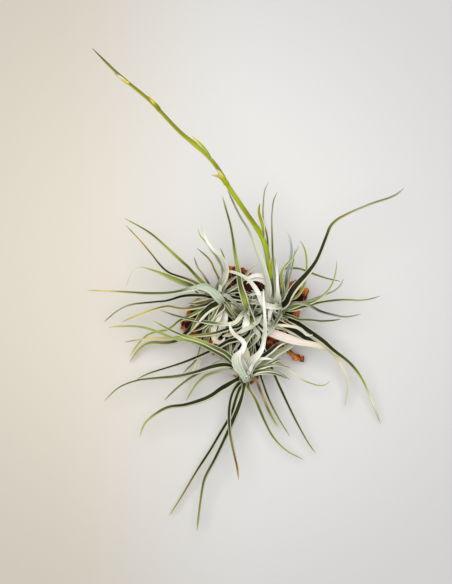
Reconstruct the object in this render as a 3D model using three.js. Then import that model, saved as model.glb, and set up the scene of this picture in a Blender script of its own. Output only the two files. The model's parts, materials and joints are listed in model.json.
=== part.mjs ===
// Arhiza air plant: four leaf rosettes and one flower stalk, growing on a piece of bark.
// Millimetres, +Z up. The origin is the middle of the bark's flat underside.
import * as THREE from 'three';
import { mergeVertices } from 'three/addons/utils/BufferGeometryUtils.js';

// Driving dimensions
const BARK_TOP = 22;
const BARK_SHOULDER = 17;
const BARK_WAIST = 9;
const BARK_TOE = 3.6;
const BARK_SIDES = 50;
const BARK_LUMPINESS = 0.03;
const STEM_FOOT_RADIUS = 6;
const STEM_TIP_RADIUS = 3.6;
const STEM_DOME = 3;
const STEM_SIDES = 14;
const LEAF_THICKNESS = 1.2;
const CHANNEL_PART = 0.25;
const BACK_WIDTH_PART = 0.62;
const STALK_SIDES = 8;
const RING_SPACING = 9;
const RING_COUNT_RANGE = [6, 20];

// Gaps between pieces that touch on the real plant
const SEAT_GAP = 0.3;
const BASE_GAP = 0.45;
const LEAF_CLEARANCE = 0.35;
const BARK_CLEARANCE = 1;
const TABLE_CLEARANCE = 2;

// How a leaf leaves its stem: the length that points straight out, and its steepest fall and rise
const LEAD_LENGTH = 4;
const LEAD_SLOPE_RANGE = [-0.3, 1.2];
const BASE_STEP = 0.5;
// The share of its width that a blade has at its base and its next two rings, where others crowd it
const BASE_WIDTH_PARTS = [0.7, 0.75, 0.9];
// The share of its length over which a leaf reaches its full roll
const ROLL_SHARE = 0.4;

// Every plan point below is where a point appears to an eye straight above the plant.
// A plan millimetre is a true one at PLAN_HEIGHT, and higher points seem further out.
const EYE_HEIGHT = 1500;
const EYE_PLACE = new THREE.Vector2(-14, 28);
const PLAN_HEIGHT = 50;

// Colours
const BARK_COLOUR = 0x8a4a24;
const STEM_COLOUR = 0xcfc7a4;
const BLADE_COLOURS = {
  green: 0x46583a, silver: 0xb9c6b5, lime: 0x8ea23c, dry: 0xdccdb4, stalk: 0x9bb51b,
};

const UP = new THREE.Vector3(0, 0, 1);
const plant = new THREE.Group();

// Bark outline, seen from above, clockwise from the top left; it ends in a short stick at the right
const BARK_OUTLINE = [
  [-12, 57], [7, 53], [22, 44], [50, 41], [62, 38], [70, 30], [68, 18], [61, 4], [50, -10], [43, -21],
  [65, -39], [62, -44.5], [42, -31], [32, -43], [29, -54], [18, -62], [6, -66], [-5, -61], [-12, -47],
  [-26, -36], [-40, -22], [-58, -15], [-63, -7], [-56, 8], [-50, 19], [-35, 30], [-17, 41],
];
// Each level of the bark: share of the outline's reach, and height over the table
const BARK_LEVELS = [
  [0.9, 0], [0.99, BARK_TOE], [1, BARK_WAIST], [0.94, BARK_SHOULDER], [0.8, BARK_TOP], [0.4, BARK_TOP],
];

// Stems: the place and the height of the tip of the stem in each rosette
const stems = {
  left: { place: [-21, 23.5], tip: 54 },
  right: { place: [36, 10], tip: 66 },
  centre: { place: [10, 6], tip: 50 },
  lower: { place: [6, -57], tip: 55 },
};
const STEM_FOOT = BARK_TOP + SEAT_GAP;

// Leaves, from the lowest base on each stem to the highest. Each has a colour, the least height of
// its base, its roll at the tip in degrees, its widths spread evenly from base to tip, and points
// [x, y, z] from base to tip. The flower stalk grows among the right rosette's leaves.
const leaves = {
  left: [
    { colour: 'green', base: 26, roll: 20, widths: [5, 8, 6.5, 5, 3.5, 2], points: [
      [-29, 14, 33], [-39, 2, 36], [-53, -13, 33], [-64, -21.5, 28], [-75, -23, 24], [-90, -23, 18],
      [-100, -29, 12], [-110, -42, 7]] },
    { colour: 'green', base: 26, roll: 15, widths: [5, 4.5, 4, 3, 2], points: [
      [-23, 11.5, 33], [-28, 6, 36], [-32, -0.5, 37], [-35, -8, 36], [-37.5, -19, 32], [-40, -30, 26],
      [-44, -40, 19], [-57, -53, 10]] },
    { colour: 'green', base: 27, roll: -20, widths: [5, 5, 3.5], points: [
      [-12, 9, 32], [-7, 2, 32], [-3, -3, 30]] },
    { colour: 'lime', base: 28, roll: 0, widths: [5, 4, 3.5, 3, 2.2, 1.5], points: [
      [-35, 12, 38], [-50, 4, 40], [-62, -2, 38], [-70, -9, 35], [-80, -11.5, 31], [-90, -14, 27],
      [-95.5, -17.5, 24], [-100, -22, 20], [-110, -36, 12]] },
    { colour: 'green', base: 31, roll: 0, widths: [5, 4, 3.2, 3, 2], points: [
      [-35, 14.5, 43], [-44, 12.5, 45], [-53, 11, 46], [-62, 11.5, 46], [-72, 13.5, 45], [-80, 12, 43],
      [-90, 9, 41], [-100, 5, 38], [-118, -2, 32]] },
    { colour: 'green', base: 34, roll: 30, widths: [5, 5.5, 4, 3, 2.2, 1.5], points: [
      [-35, 24.5, 47], [-50, 24.5, 52], [-58, 23.5, 53], [-65, 21.5, 54], [-70, 19.5, 54], [-80, 18.5, 53],
      [-90, 17.5, 51], [-110, 15, 46], [-122, 9.5, 41], [-136, -2, 33]] },
    { colour: 'green', base: 37, roll: -25, widths: [5, 5, 4, 3.2, 2.5, 1.5], points: [
      [-40, 34, 52], [-50, 39.5, 57], [-60, 43, 60], [-70, 46.5, 62], [-74, 49, 63], [-80, 55, 64],
      [-87, 64, 66], [-97, 76, 68], [-114, 94.5, 70]] },
    { colour: 'lime', base: 39, roll: 0, widths: [5, 5.5, 5, 3.5, 2.5, 1.5], points: [
      [-36, 36, 56], [-44, 44, 64], [-52, 53, 70], [-60, 60, 74], [-70, 69.5, 78], [-90, 87, 82],
      [-116, 102, 80]] },
    { colour: 'silver', base: 36, roll: 10, widths: [5, 4.5, 3.5, 2.5], points: [
      [-14.5, 27.5, 46], [-8.5, 31, 49], [-4, 33.5, 50], [3, 40, 50], [10, 50, 49], [19, 55.5, 46]] },
    { colour: 'green', base: 40, roll: 0, widths: [4, 3.5, 3, 2.5, 1.5], points: [
      [-21, 41, 60], [-25, 49, 67], [-27, 53.5, 70], [-29, 58.5, 73], [-33, 63, 75], [-38, 67.5, 76],
      [-43, 72, 76]] },
    { colour: 'green', base: 44, roll: 20, widths: [5, 7, 4.5, 4, 3, 2, 1.5], points: [
      [-29, 32, 56], [-35, 34, 60], [-43, 32.5, 63], [-50, 31, 65], [-58, 29, 66], [-70, 27, 67],
      [-90, 26.5, 67], [-125, 28.5, 63], [-153, 29.8, 57]] },
    { colour: 'silver', base: 46, roll: 30, widths: [5, 7, 5, 3, 2.5, 1.5], points: [
      [-21, 35, 59], [-18, 39, 64], [-14, 50, 73], [-14.5, 54, 76], [-18, 62, 81], [-27, 70, 85],
      [-34, 80, 88], [-39, 96, 89]] },
  ],
  right: [
    { colour: 'green', base: 27, roll: -15, widths: [5, 8, 6.5, 5, 4, 3, 1.8], points: [
      [48.5, 1, 40], [58, -3.5, 46], [67, -10, 50], [76.5, -16.5, 53], [86, -23.5, 53], [93.5, -30.5, 51],
      [108.5, -42, 44], [119.5, -55, 35], [128, -71.5, 25], [140.5, -103.5, 11]] },
    { colour: 'green', base: 31, roll: 0, widths: [4, 3.5, 3, 2], points: [
      [46, 5.5, 42], [53, 3, 46], [58, 0.5, 48], [71, 0, 50], [81, -1.2, 50], [93, -0.5, 48],
      [101, 0.7, 46]] },
    { colour: 'green', base: 34, roll: 0, widths: [5, 5, 3.5, 3, 2, 1.5], points: [
      [50, 9.5, 46], [57, 11, 50], [73, 15.5, 54], [85, 18, 55], [105, 20, 54], [121, 19.5, 52],
      [133, 21.5, 50], [140, 24, 48]] },
    { colour: 'lime', base: 36, roll: 20, widths: [5, 4, 3.5, 3, 2, 1.5], points: [
      [52, 12.5, 52], [60, 16, 57], [72, 18, 61], [82, 24, 64], [90.5, 33, 67], [95.5, 46, 70],
      [97, 60, 72]] },
    { colour: 'green', base: 34, roll: 0, widths: [4, 3.5, 3, 2.5, 1.5], points: [
      [40, 35, 54], [41, 46, 57], [45, 51.5, 58], [52.5, 51.5, 59], [60, 51, 59], [75, 45.5, 57],
      [85, 42, 55], [101, 38.5, 52]] },
    { colour: 'green', base: 37, roll: 0, widths: [4, 3, 2.5, 2, 1.5], points: [
      [29, 30, 55], [28, 52, 64], [28, 70, 71], [27, 85, 76], [23.5, 99, 80], [23.5, 118, 83],
      [26, 133.5, 84], [29, 138, 84]] },
    { colour: 'silver', base: 40, roll: 25, widths: [4, 3.2, 3, 2.2, 1.3], points: [
      [50, 17, 55], [60, 17.5, 63], [68, 15.5, 67], [79, 9.5, 69], [91, 6, 67], [105, 3.3, 64],
      [121, 6, 60]] },
    { colour: 'lime', base: 37, roll: 0, widths: [4, 3.5, 3, 2.5, 1.5], points: [
      [47, 19, 50], [56, 22, 56], [62, 29, 61], [66, 40, 66], [67, 53, 71], [66.5, 64, 76],
      [64.5, 72, 79], [60, 79.5, 81]] },
    { colour: 'green', base: 42, roll: -30, widths: [4.5, 3.5, 3, 2.5, 1.5], points: [
      [46, 28, 60], [46.5, 40, 68], [48, 50, 73], [50, 58, 77], [51.7, 70, 81], [49, 84, 85],
      [46, 90.5, 87]] },
    { name: 'flower_stalk', colour: 'stalk', base: 42, roll: 0, weight: 100,
      widths: [5.4, 5.6, 5.4, 5, 4.6, 4.2, 4, 3.6, 3, 1.8], points: [
        [35, 24, 60], [32.5, 36, 69], [30, 49, 76], [28, 61, 83], [25.5, 75, 90], [22.5, 84, 95],
        [18, 91, 99], [11, 99.5, 104], [-2, 119.5, 114], [-13.5, 136, 124], [-20, 149, 131],
        [-34, 166, 141], [-43.5, 174, 147], [-60.5, 188, 156], [-89.5, 219, 174], [-120, 244, 193],
        [-148, 272, 212]] },
    { colour: 'green', base: 42, roll: 15, widths: [5, 4.8, 4, 3, 2.2, 1.5], points: [
      [35, 24, 60], [34.5, 38, 74], [33, 52, 84], [32, 67, 91], [31.8, 81, 96], [31.7, 107, 102],
      [34.5, 124, 105], [37, 128, 105]] },
    { colour: 'lime', base: 46, roll: 0, widths: [5, 4, 3.5, 2.5, 1.5], points: [
      [43, 25, 63], [42, 35, 72], [41, 45, 79], [43, 51, 82], [47, 56, 84], [52, 61, 86],
      [58.5, 74, 87]] },
    { colour: 'silver', base: 46, roll: 30, widths: [5, 8.5, 6.5, 4, 2.8, 2], points: [
      [30, 24, 62], [29.5, 36, 74], [26.5, 48, 83], [23.5, 57, 87], [20, 65, 90], [16, 74, 93],
      [10, 89, 97], [1, 103, 100], [-7, 119, 101], [-12, 130, 101]] },
    { colour: 'silver', base: 49, roll: 0, widths: [4.5, 4, 3, 2], points: [
      [38, 24, 72], [37.5, 38, 84], [37, 50, 91], [36, 62, 97]] },
    { colour: 'green', base: 48, roll: -35, widths: [5, 9, 7, 5.5, 4.5, 3.5, 3, 2], points: [
      [46, 20, 62], [51, 27, 69], [55, 33, 74], [62, 40, 79], [69, 48, 83], [75, 56, 86],
      [80, 66, 88], [87, 84, 90], [92.5, 96, 91], [105, 104.5, 91], [130, 115.5, 89], [155, 124.5, 84],
      [164, 132, 81]] },
    { colour: 'silver', base: 51, roll: 20, widths: [5, 6.5, 5.5, 4, 3, 2], points: [
      [27, 10, 63], [21.5, 18, 72], [18.5, 25.5, 76], [15.5, 31.5, 77], [12, 36, 77], [4.5, 43, 75],
      [-9, 48.3, 68], [-27, 50.5, 60]] },
  ],
  centre: [
    { colour: 'green', base: 26, roll: 15, widths: [5, 4.5, 4, 3.5, 2.5, 1.8], points: [
      [12, -13, 32], [14, -27, 33], [17, -41, 33], [20.5, -54, 32], [24.8, -67, 30], [28.8, -78.3, 27],
      [39, -98.7, 20], [50, -116.3, 12]] },
    { colour: 'green', base: 27, roll: -15, widths: [5, 5, 4.5, 3.5, 2.5, 1.8], points: [
      [18, -12, 35], [23, -28, 38], [29.5, -42, 38], [33.3, -52.3, 38], [43.5, -75, 35], [56, -101, 28],
      [69.6, -125, 20], [76, -133.5, 16]] },
    { colour: 'green', base: 30, roll: 15, widths: [5, 6, 4.5, 3.5, 2.5, 1.5], points: [
      [9, -13, 40], [2, -18.5, 43], [-10, -21, 46], [-21, -27, 46], [-37.5, -35, 43], [-56, -42.5, 38],
      [-75, -48.5, 32], [-93.5, -54.5, 26], [-104, -60, 22]] },
    { colour: 'green', base: 33, roll: 10, widths: [5, 4.5, 3.5, 3, 2.2, 1.5], points: [
      [0, -6.5, 43], [-8, -8, 46], [-25, -13.5, 49], [-40, -15.5, 49], [-50, -16.5, 48], [-60, -17, 47],
      [-73, -18, 44], [-90, -18.5, 40], [-115, -22, 32]] },
    { colour: 'dry', base: 32, roll: -10, widths: [5, 10.5, 9.5, 7, 5.5, 4.5, 3.5, 2.2], points: [
      [26, -10, 46], [39, -15.5, 51], [48.5, -19, 53], [58, -22, 53], [67, -23.5, 52], [76.5, -25.5, 50],
      [86, -28, 46], [93.5, -34.5, 41], [99, -42, 37], [103.5, -51, 33], [107, -59.5, 28], [108, -68, 24],
      [105.6, -82, 18], [104.7, -87, 16]] },
    { colour: 'silver', base: 38, roll: 0, widths: [5, 4.5, 3], points: [
      [17.5, 8, 50], [22, 12, 55], [25.5, 17, 59]] },
    { colour: 'silver', base: 40, roll: 20, widths: [5, 6, 5, 3.5], points: [
      [14, -5, 51], [10, -7.5, 54], [4.5, -10, 56], [0, -12.5, 57], [-4.5, -14, 57]] },
    { colour: 'green', base: 43, roll: 20, widths: [5, 5, 4.5, 4, 3, 2], points: [
      [2, 5.5, 53], [-1.5, 1, 58], [-4.5, -2.5, 58], [-8, -4, 57], [-17, -4.3, 55],
      [-27, -3.3, 53], [-44, -0.5, 51], [-54, 1.5, 51], [-62, 3.5, 51], [-70, 6, 51], [-80, 10, 52]] },
    { colour: 'lime', base: 44, roll: 0, widths: [5, 8.5, 6.5, 4.5, 3.5, 2.8, 2], points: [
      [6.5, 14, 55], [3.5, 24, 61], [1.5, 30, 63], [0, 36, 64], [-1.3, 48, 67], [-4, 61, 71],
      [-6.5, 78, 76], [-9.4, 94.5, 80], [-14, 111, 83], [-17.5, 123.5, 84]] },
  ],
  lower: [
    { colour: 'dry', base: 26, roll: 0, widths: [4, 3.5, 3, 2], points: [
      [16, -60, 30], [19.7, -69, 30], [25.4, -83, 26], [31, -95.3, 20], [38, -107, 14]] },
    { colour: 'green', base: 27, roll: 20, widths: [5, 4.5, 4, 3, 2.2, 1.5], points: [
      [9, -69, 33], [15, -78.3, 34], [24.3, -100, 31], [33.3, -117, 26], [47, -131, 19],
      [63.5, -139.5, 13]] },
    { colour: 'green', base: 28, roll: -15, widths: [5, 5, 4.5, 4, 3, 2], points: [
      [-1, -70, 33], [-4.6, -80.6, 34], [-8.6, -94, 34], [-21, -115.7, 31], [-29, -129.3, 28],
      [-43.7, -152, 21], [-58.5, -177, 14], [-70.4, -195.6, 10]] },
    { colour: 'green', base: 32, roll: 25, widths: [5, 6.5, 5.5, 4.5, 4, 3, 2.5], points: [
      [3, -72, 41], [1.6, -78, 42], [-3, -92, 44], [-13, -114.6, 44], [-25.6, -140.7, 41], [-35.2, -159, 37],
      [-39.2, -180, 31], [-41.5, -198, 26], [-43, -211, 22]] },
    { colour: 'lime', base: 27, roll: 0, widths: [3.5, 3, 2.5, 2, 1.5, 1.2], points: [
      [18, -44, 33], [31, -41, 33], [42, -44.7, 35], [48.7, -49.3, 35], [61.7, -59.6, 32], [70, -63, 29],
      [79.5, -65.7, 26], [86, -64.7, 24], [90.5, -61, 23]] },
    { colour: 'silver', base: 30, roll: 0, widths: [5, 4, 3, 2.5, 1.5], points: [
      [-16, -40, 40], [-25.2, -44.4, 43], [-37, -51, 44], [-49.5, -58, 43], [-62.5, -67.7, 38],
      [-75.6, -80.3, 31]] },
    { colour: 'silver', base: 28, roll: 0, widths: [4.5, 4, 3, 2, 1.5], points: [
      [-12, -50, 34], [-26, -52.5, 37], [-34.5, -55.6, 37], [-40, -60.3, 36], [-45.7, -67, 32],
      [-54, -81, 24]] },
    { colour: 'green', base: 36, roll: 15, widths: [5, 4.5, 4, 3.5, 2.5], points: [
      [-5, -69, 46], [-8.6, -78, 50], [-10.6, -92, 52], [-10.6, -102, 53], [-9.7, -113.5, 53],
      [-5.2, -136, 50], [-2.4, -148.6, 47], [-1.4, -160, 44]] },
    { colour: 'green', base: 38, roll: 20, widths: [5, 8, 6, 5, 4, 3, 2], points: [
      [-7, -62, 50], [-12, -65.5, 54], [-19, -69.6, 58], [-28, -76, 59], [-37.5, -80.3, 59], [-56, -85.5, 55],
      [-71, -87.3, 50], [-86, -95.3, 43], [-96, -105, 37], [-100, -117, 32]] },
    { colour: 'green', base: 37, roll: 30, widths: [5, 6.5, 5, 4, 3, 2, 1.5], points: [
      [-9.3, -45.5, 50], [-19, -46, 55], [-28, -48, 57], [-42, -52.3, 57], [-61, -56.5, 55],
      [-84, -58.4, 49], [-103, -60.7, 43], [-121.5, -68, 36], [-135.5, -81, 28]] },
    { colour: 'silver', base: 40, roll: 15, widths: [5, 5, 4, 3.2, 2.5, 1.5], points: [
      [-10.5, -41, 53], [-19, -35.5, 57], [-28, -30.5, 58], [-37.5, -25.7, 58], [-47, -22, 58],
      [-65.5, -18.7, 56], [-84, -11.3, 54], [-100, -6.8, 51], [-121.5, -6.4, 47], [-131.7, -7.3, 45]] },
    { colour: 'silver', base: 40, roll: 20, widths: [5, 8, 7, 4], points: [
      [17, -47, 46], [23, -43.5, 47], [30, -39, 47], [36, -34, 46], [45, -29, 44], [52, -25, 42],
      [58, -23, 41]] },
    { colour: 'green', base: 44, roll: 0, widths: [5, 6, 5, 4, 3, 2], points: [
      [-8, -39, 57], [-14, -33.5, 61], [-21.5, -29.5, 63], [-31, -25, 64], [-40, -21, 64], [-50.5, -18, 63],
      [-60, -14.5, 62], [-70, -10, 61], [-87.5, -0.3, 58]] },
    { colour: 'green', base: 44, roll: -20, widths: [5, 7, 6, 3.5], points: [
      [14, -44.5, 52], [23.3, -37, 54], [32, -30.7, 52], [36.7, -26, 50], [43.3, -22.7, 47], [51.3, -21.3, 45]] },
    { colour: 'silver', base: 47, roll: 20, widths: [5, 7, 6, 5, 4, 3, 2], points: [
      [11, -41, 60], [15.3, -38, 63], [20, -32.7, 67], [22.7, -26.7, 70], [23.7, -20, 73], [24.7, -10.7, 77],
      [24.7, 0, 81], [24, 10, 84], [23.3, 20, 86], [23.3, 30.7, 87]] },
    { colour: 'silver', base: 48, roll: 10, widths: [5, 10, 8, 6, 5, 4, 2.5], points: [
      [1, -41, 60], [-1.5, -37, 65], [0, -31.5, 69], [3.3, -28, 71], [4.7, -24, 72], [3.3, -20, 73],
      [-0.7, -17.3, 73], [-4.7, -14.7, 72], [-8, -10.7, 70], [-10, -6, 68], [-10.3, -2.5, 66]] },
  ],
};

// Bracts: small leaves on the flower stalk, a share of the way along it. Each base is off to the
// side of the stalk that its direction names.
const BRACTS = [
  { colour: 'lime', roll: 0, at: 0.27, off: [0.2, 0.1, 1], widths: [3.5, 4, 3, 2], points: [
    [22.3, 97, 107], [20, 103, 109], [19, 110, 110], [20, 117, 109]] },
  { colour: 'lime', roll: 0, at: 0.56, off: [0.2, 0.25, 1], widths: [3, 3, 2.5, 1.5], points: [
    [-38, 174.5, 152], [-42, 178.5, 154], [-48.5, 184.5, 156]] },
];

// Parting, which keeps neighbouring leaves clear of each other
const SIDEWAYS_COST = 1.5;
const PARTING_SHARE = 0.35;
const PARTING_ROUNDS = 160;
const SMOOTH_ROUNDS = 120;
const MOVE_LIMITS = [0, 2, 4];
const PARALLEL_LIMIT = 1e-3;

function truePoint([x, y, z]) {
  const scale = (EYE_HEIGHT - z) / (EYE_HEIGHT - PLAN_HEIGHT);
  return new THREE.Vector3(
    EYE_PLACE.x + (x - EYE_PLACE.x) * scale,
    EYE_PLACE.y + (y - EYE_PLACE.y) * scale,
    z,
  );
}

function listValue(list, share) {
  const place = share * (list.length - 1);
  const step = Math.min(Math.floor(place), list.length - 2);
  return THREE.MathUtils.lerp(list[step], list[step + 1], place - step);
}

function addPiece(name, geometry, color, roughness) {
  const material = new THREE.MeshStandardMaterial({ color, roughness, metalness: 0 });
  const mesh = new THREE.Mesh(geometry, material);
  mesh.name = name;
  plant.add(mesh);
}

// A closed skin over rings that all have the same number of points
function loft(rings, startPoint, endPoint) {
  const count = rings[0].length;
  const points = [startPoint, ...rings.flat(), endPoint];
  const last = points.length - 1;
  const at = (ring, corner) => 1 + ring * count + (corner % count);
  const index = [];
  for (let corner = 0; corner < count; corner += 1) {
    index.push(0, at(0, corner + 1), at(0, corner));
    index.push(last, at(rings.length - 1, corner), at(rings.length - 1, corner + 1));
    for (let ring = 0; ring + 1 < rings.length; ring += 1) {
      const [a, b] = [at(ring, corner), at(ring, corner + 1)];
      const [c, d] = [at(ring + 1, corner), at(ring + 1, corner + 1)];
      index.push(a, b, d, a, d, c);
    }
  }
  const geometry = new THREE.BufferGeometry().setFromPoints(points);
  geometry.setIndex(index);
  geometry.computeVertexNormals();
  return geometry;
}

// Bark: a low lump with a flat underside, a bulging rim and a level top for the stems
function makeBark() {
  const outline = BARK_OUTLINE.map(([x, y]) => truePoint([x, y, BARK_WAIST]).setZ(0));
  const edge = new THREE.CatmullRomCurve3(outline, true, 'centripetal').getSpacedPoints(BARK_SIDES);
  edge.pop();
  edge.reverse();
  const rings = BARK_LEVELS.map(([reach, height]) => edge.map((point, side) => {
    const isRim = height > 0 && height < BARK_TOP;
    const lump = isRim ? BARK_LUMPINESS * Math.sin(side * 2.1 + height) : 0;
    return point.clone().multiplyScalar(reach + lump).setZ(height);
  }));
  const underside = new THREE.Vector3(0, 0, 0);
  const top = new THREE.Vector3(0, 0, BARK_TOP);
  addPiece('bark_mount', loft(rings, underside, top), BARK_COLOUR, 0.9);
}

// Stems: one short upright cone under each rosette, standing on the bark
function stemRadius(stem, height) {
  const share = (height - STEM_FOOT) / (stem.tip - STEM_DOME - STEM_FOOT);
  return THREE.MathUtils.lerp(STEM_FOOT_RADIUS, STEM_TIP_RADIUS, THREE.MathUtils.clamp(share, 0, 1));
}

function makeStem(name, stem) {
  const shoulder = stem.tip - STEM_DOME;
  const profile = [
    new THREE.Vector2(0, STEM_FOOT),
    new THREE.Vector2(STEM_FOOT_RADIUS, STEM_FOOT),
    new THREE.Vector2(STEM_TIP_RADIUS, shoulder),
    new THREE.Vector2(STEM_TIP_RADIUS * 0.7, shoulder + STEM_DOME * 0.7),
    new THREE.Vector2(0, stem.tip),
  ];
  const lathe = new THREE.LatheGeometry(profile, STEM_SIDES);
  lathe.deleteAttribute('normal');
  lathe.deleteAttribute('uv');
  const geometry = mergeVertices(lathe, 1e-4);
  geometry.rotateX(Math.PI / 2);
  geometry.translate(stem.axis.x, stem.axis.y, 0);
  geometry.computeVertexNormals();
  addPiece(`${name}_stem`, geometry, STEM_COLOUR, 0.8);
}

// A leaf's section: a shallow channel above a rounded back, as [across, height] points
function leafSection(width) {
  const half = width / 2;
  const depth = width * CHANNEL_PART;
  const thick = Math.min(LEAF_THICKNESS, 0.3 + width * 0.3);
  const backHeight = depth * 0.45 - thick * 0.75;
  return [
    [-half, depth], [-half * BACK_WIDTH_PART, backHeight], [0, -thick],
    [half * BACK_WIDTH_PART, backHeight], [half, depth], [0, 0],
  ];
}

function stalkSection(width) {
  return Array.from({ length: STALK_SIDES }, (_, side) => {
    const angle = (side / STALK_SIDES) * 2 * Math.PI;
    return [(Math.cos(angle) * width) / 2, (Math.sin(angle) * width) / 2];
  });
}

function sectionRange(section, width) {
  const heights = section(width).map(([, height]) => height);
  return [Math.min(...heights), Math.max(...heights)];
}

// The lowest free place for a leaf's base: beside or above the bases that are already there
function seatLeaf(stem, leaf) {
  const first = truePoint(leaf.points[0]);
  const azimuth = Math.atan2(first.y - stem.axis.y, first.x - stem.axis.x);
  const width = leaf.widths[0] * BASE_WIDTH_PARTS[0];
  const [low, high] = sectionRange(leafSection, width);
  const depth = high - low;
  const clears = (height) => stem.seats.every((seat) => {
    const turn = THREE.MathUtils.euclideanModulo(azimuth - seat.azimuth, 2 * Math.PI);
    const between = Math.min(turn, 2 * Math.PI - turn);
    const radius = stemRadius(stem, Math.max(height, seat.height)) + SEAT_GAP;
    const needed = Math.atan(width / 2 / radius) + Math.atan(seat.width / 2 / radius);
    const apart = (depth + seat.depth) / 2 + LEAF_CLEARANCE;
    return between > needed || Math.abs(height - seat.height) > apart;
  });
  let height = leaf.base;
  while (!clears(height)) height += BASE_STEP;
  stem.seats.push({ azimuth, width, depth, height });
  const outward = new THREE.Vector3(Math.cos(azimuth), Math.sin(azimuth), 0);
  const reach = stemRadius(stem, height - depth) + BASE_GAP;
  return { outward, foot: stem.axis.clone().addScaledVector(outward, reach).setZ(height) };
}

// A blade is a path of points with a width at each; its last point is its sharp tip
function makeBlade(name, leaf, { foot, outward }, section) {
  const points = leaf.points.map(truePoint);
  const rise = points[0].clone().sub(foot);
  const slope = THREE.MathUtils.clamp(rise.z / Math.hypot(rise.x, rise.y), ...LEAD_SLOPE_RANGE);
  const lead = outward.clone().setZ(slope).setLength(LEAD_LENGTH);
  const path = new THREE.CatmullRomCurve3([foot, foot.clone().add(lead), ...points], false, 'centripetal');
  const steps = THREE.MathUtils.clamp(Math.round(path.getLength() / RING_SPACING) + 2, ...RING_COUNT_RANGE);
  const places = path.getSpacedPoints(steps);
  const widths = places.map((_, step) => (
    listValue(leaf.widths, step / steps) * (BASE_WIDTH_PARTS[step] ?? 1)
  ));
  widths[steps] = 0;
  const rolls = places.map((_, step) => (
    THREE.MathUtils.degToRad(leaf.roll) * THREE.MathUtils.smoothstep(step / steps, 0, ROLL_SHARE)
  ));
  return { name, colour: leaf.colour, places, widths, rolls, outward, section, weight: leaf.weight ?? 1 };
}

// Direction of travel, side to side direction and channel direction at each point
function bladeFrames({ places, rolls, outward }) {
  return places.map((place, step) => {
    const before = places[Math.max(step - 1, 0)];
    const after = places[Math.min(step + 1, places.length - 1)];
    const along = step === 0 ? outward.clone() : after.clone().sub(before).normalize();
    const side = UP.clone().cross(along).normalize().applyAxisAngle(along, rolls[step]);
    return { along, side, channel: along.clone().cross(side) };
  });
}

function bladeMesh(blade) {
  const frames = bladeFrames(blade);
  const rings = blade.places.slice(0, -1).map((place, step) => (
    blade.section(blade.widths[step]).map(([across, height]) => (
      place.clone()
        .addScaledVector(frames[step].side, across)
        .addScaledVector(frames[step].channel, height)
    ))
  ));
  const [lowest] = sectionRange(blade.section, blade.widths[0]);
  const start = blade.places[0].clone().addScaledVector(frames[0].channel, lowest / 2);
  return loft(rings, start, blade.places.at(-1));
}

// Boxes around each stretch of a blade
function bladeBoxes(blade) {
  const frames = bladeFrames(blade);
  const boxes = [];
  for (let step = 0; step + 1 < blade.places.length; step += 1) {
    const [from, to] = [blade.places[step], blade.places[step + 1]];
    const width = Math.max(blade.widths[step], blade.widths[step + 1]);
    const [low, high] = sectionRange(blade.section, width);
    const along = to.clone().sub(from).normalize();
    const side = frames[step].side.clone().add(frames[step + 1].side);
    side.addScaledVector(along, -side.dot(along)).normalize();
    const channel = along.clone().cross(side);
    const centre = from.clone().add(to).multiplyScalar(0.5).addScaledVector(channel, (low + high) / 2);
    const halves = [from.distanceTo(to) / 2, width / 2, (high - low) / 2];
    boxes.push({ step, centre, axes: [along, side, channel], halves, reach: Math.hypot(...halves) });
  }
  return boxes;
}

function boxReach(box, axis) {
  return box.axes.reduce((sum, own, index) => sum + box.halves[index] * Math.abs(own.dot(axis)), 0);
}

// The shortest move that parts two boxes, mostly up or down, or null where they are apart
function partingMove(a, b) {
  const offset = b.centre.clone().sub(a.centre);
  if (offset.length() > a.reach + b.reach + LEAF_CLEARANCE) return null;
  const crossings = a.axes.flatMap((first) => b.axes.map((second) => first.clone().cross(second)));
  let best = null;
  for (const axis of [UP.clone(), ...a.axes, ...b.axes, ...crossings]) {
    if (axis.lengthSq() < PARALLEL_LIMIT) continue;
    axis.normalize();
    const distance = offset.dot(axis);
    const overlap = boxReach(a, axis) + boxReach(b, axis) + LEAF_CLEARANCE - Math.abs(distance);
    if (overlap <= 0) return null;
    const cost = overlap * (1 + SIDEWAYS_COST * (1 - Math.abs(axis.z)));
    if (!best || cost < best.cost) {
      best = { cost, move: axis.clone().multiplyScalar(Math.sign(distance) * overlap) };
    }
  }
  return best.move;
}

// A blade's base stays on its seat, and its second point moves half as far as the rest
function moveStretch(blade, box, move, share) {
  for (const step of [box.step, box.step + 1]) {
    const freedom = Math.min(step / 2, 1);
    blade.places[step].addScaledVector(move, share * freedom);
  }
}

function partPair(first, second, firstBoxes, secondBoxes) {
  const share = PARTING_SHARE / (first.weight + second.weight);
  let moved = false;
  for (const a of firstBoxes) {
    for (const b of secondBoxes) {
      const move = partingMove(a, b);
      if (!move) continue;
      moved = true;
      moveStretch(first, a, move, -share * second.weight);
      moveStretch(second, b, move, share * first.weight);
    }
  }
  return moved;
}

function boundsOf(boxes) {
  const bounds = new THREE.Box3();
  for (const box of boxes) {
    const size = new THREE.Vector3().setScalar(box.reach * 2 + LEAF_CLEARANCE);
    bounds.union(new THREE.Box3().setFromCenterAndSize(box.centre, size));
  }
  return bounds;
}

// Spreads each blade's moves along it, so that it stays a smooth curve
function smoothMoves(blade, start) {
  const moves = blade.places.map((place, step) => place.clone().sub(start[step]));
  for (let step = 1; step < blade.places.length; step += 1) {
    const after = moves[Math.min(step + 1, moves.length - 1)];
    const move = moves[step].clone().multiplyScalar(2).add(moves[step - 1]).add(after).divideScalar(4);
    blade.places[step].copy(start[step]).add(move);
  }
}

// Near its base a blade keeps to its own path
function limitMoves(blade, start) {
  MOVE_LIMITS.forEach((limit, step) => {
    const move = blade.places[step].clone().sub(start[step]).clampLength(0, limit);
    blade.places[step].copy(start[step]).add(move);
  });
}

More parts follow.
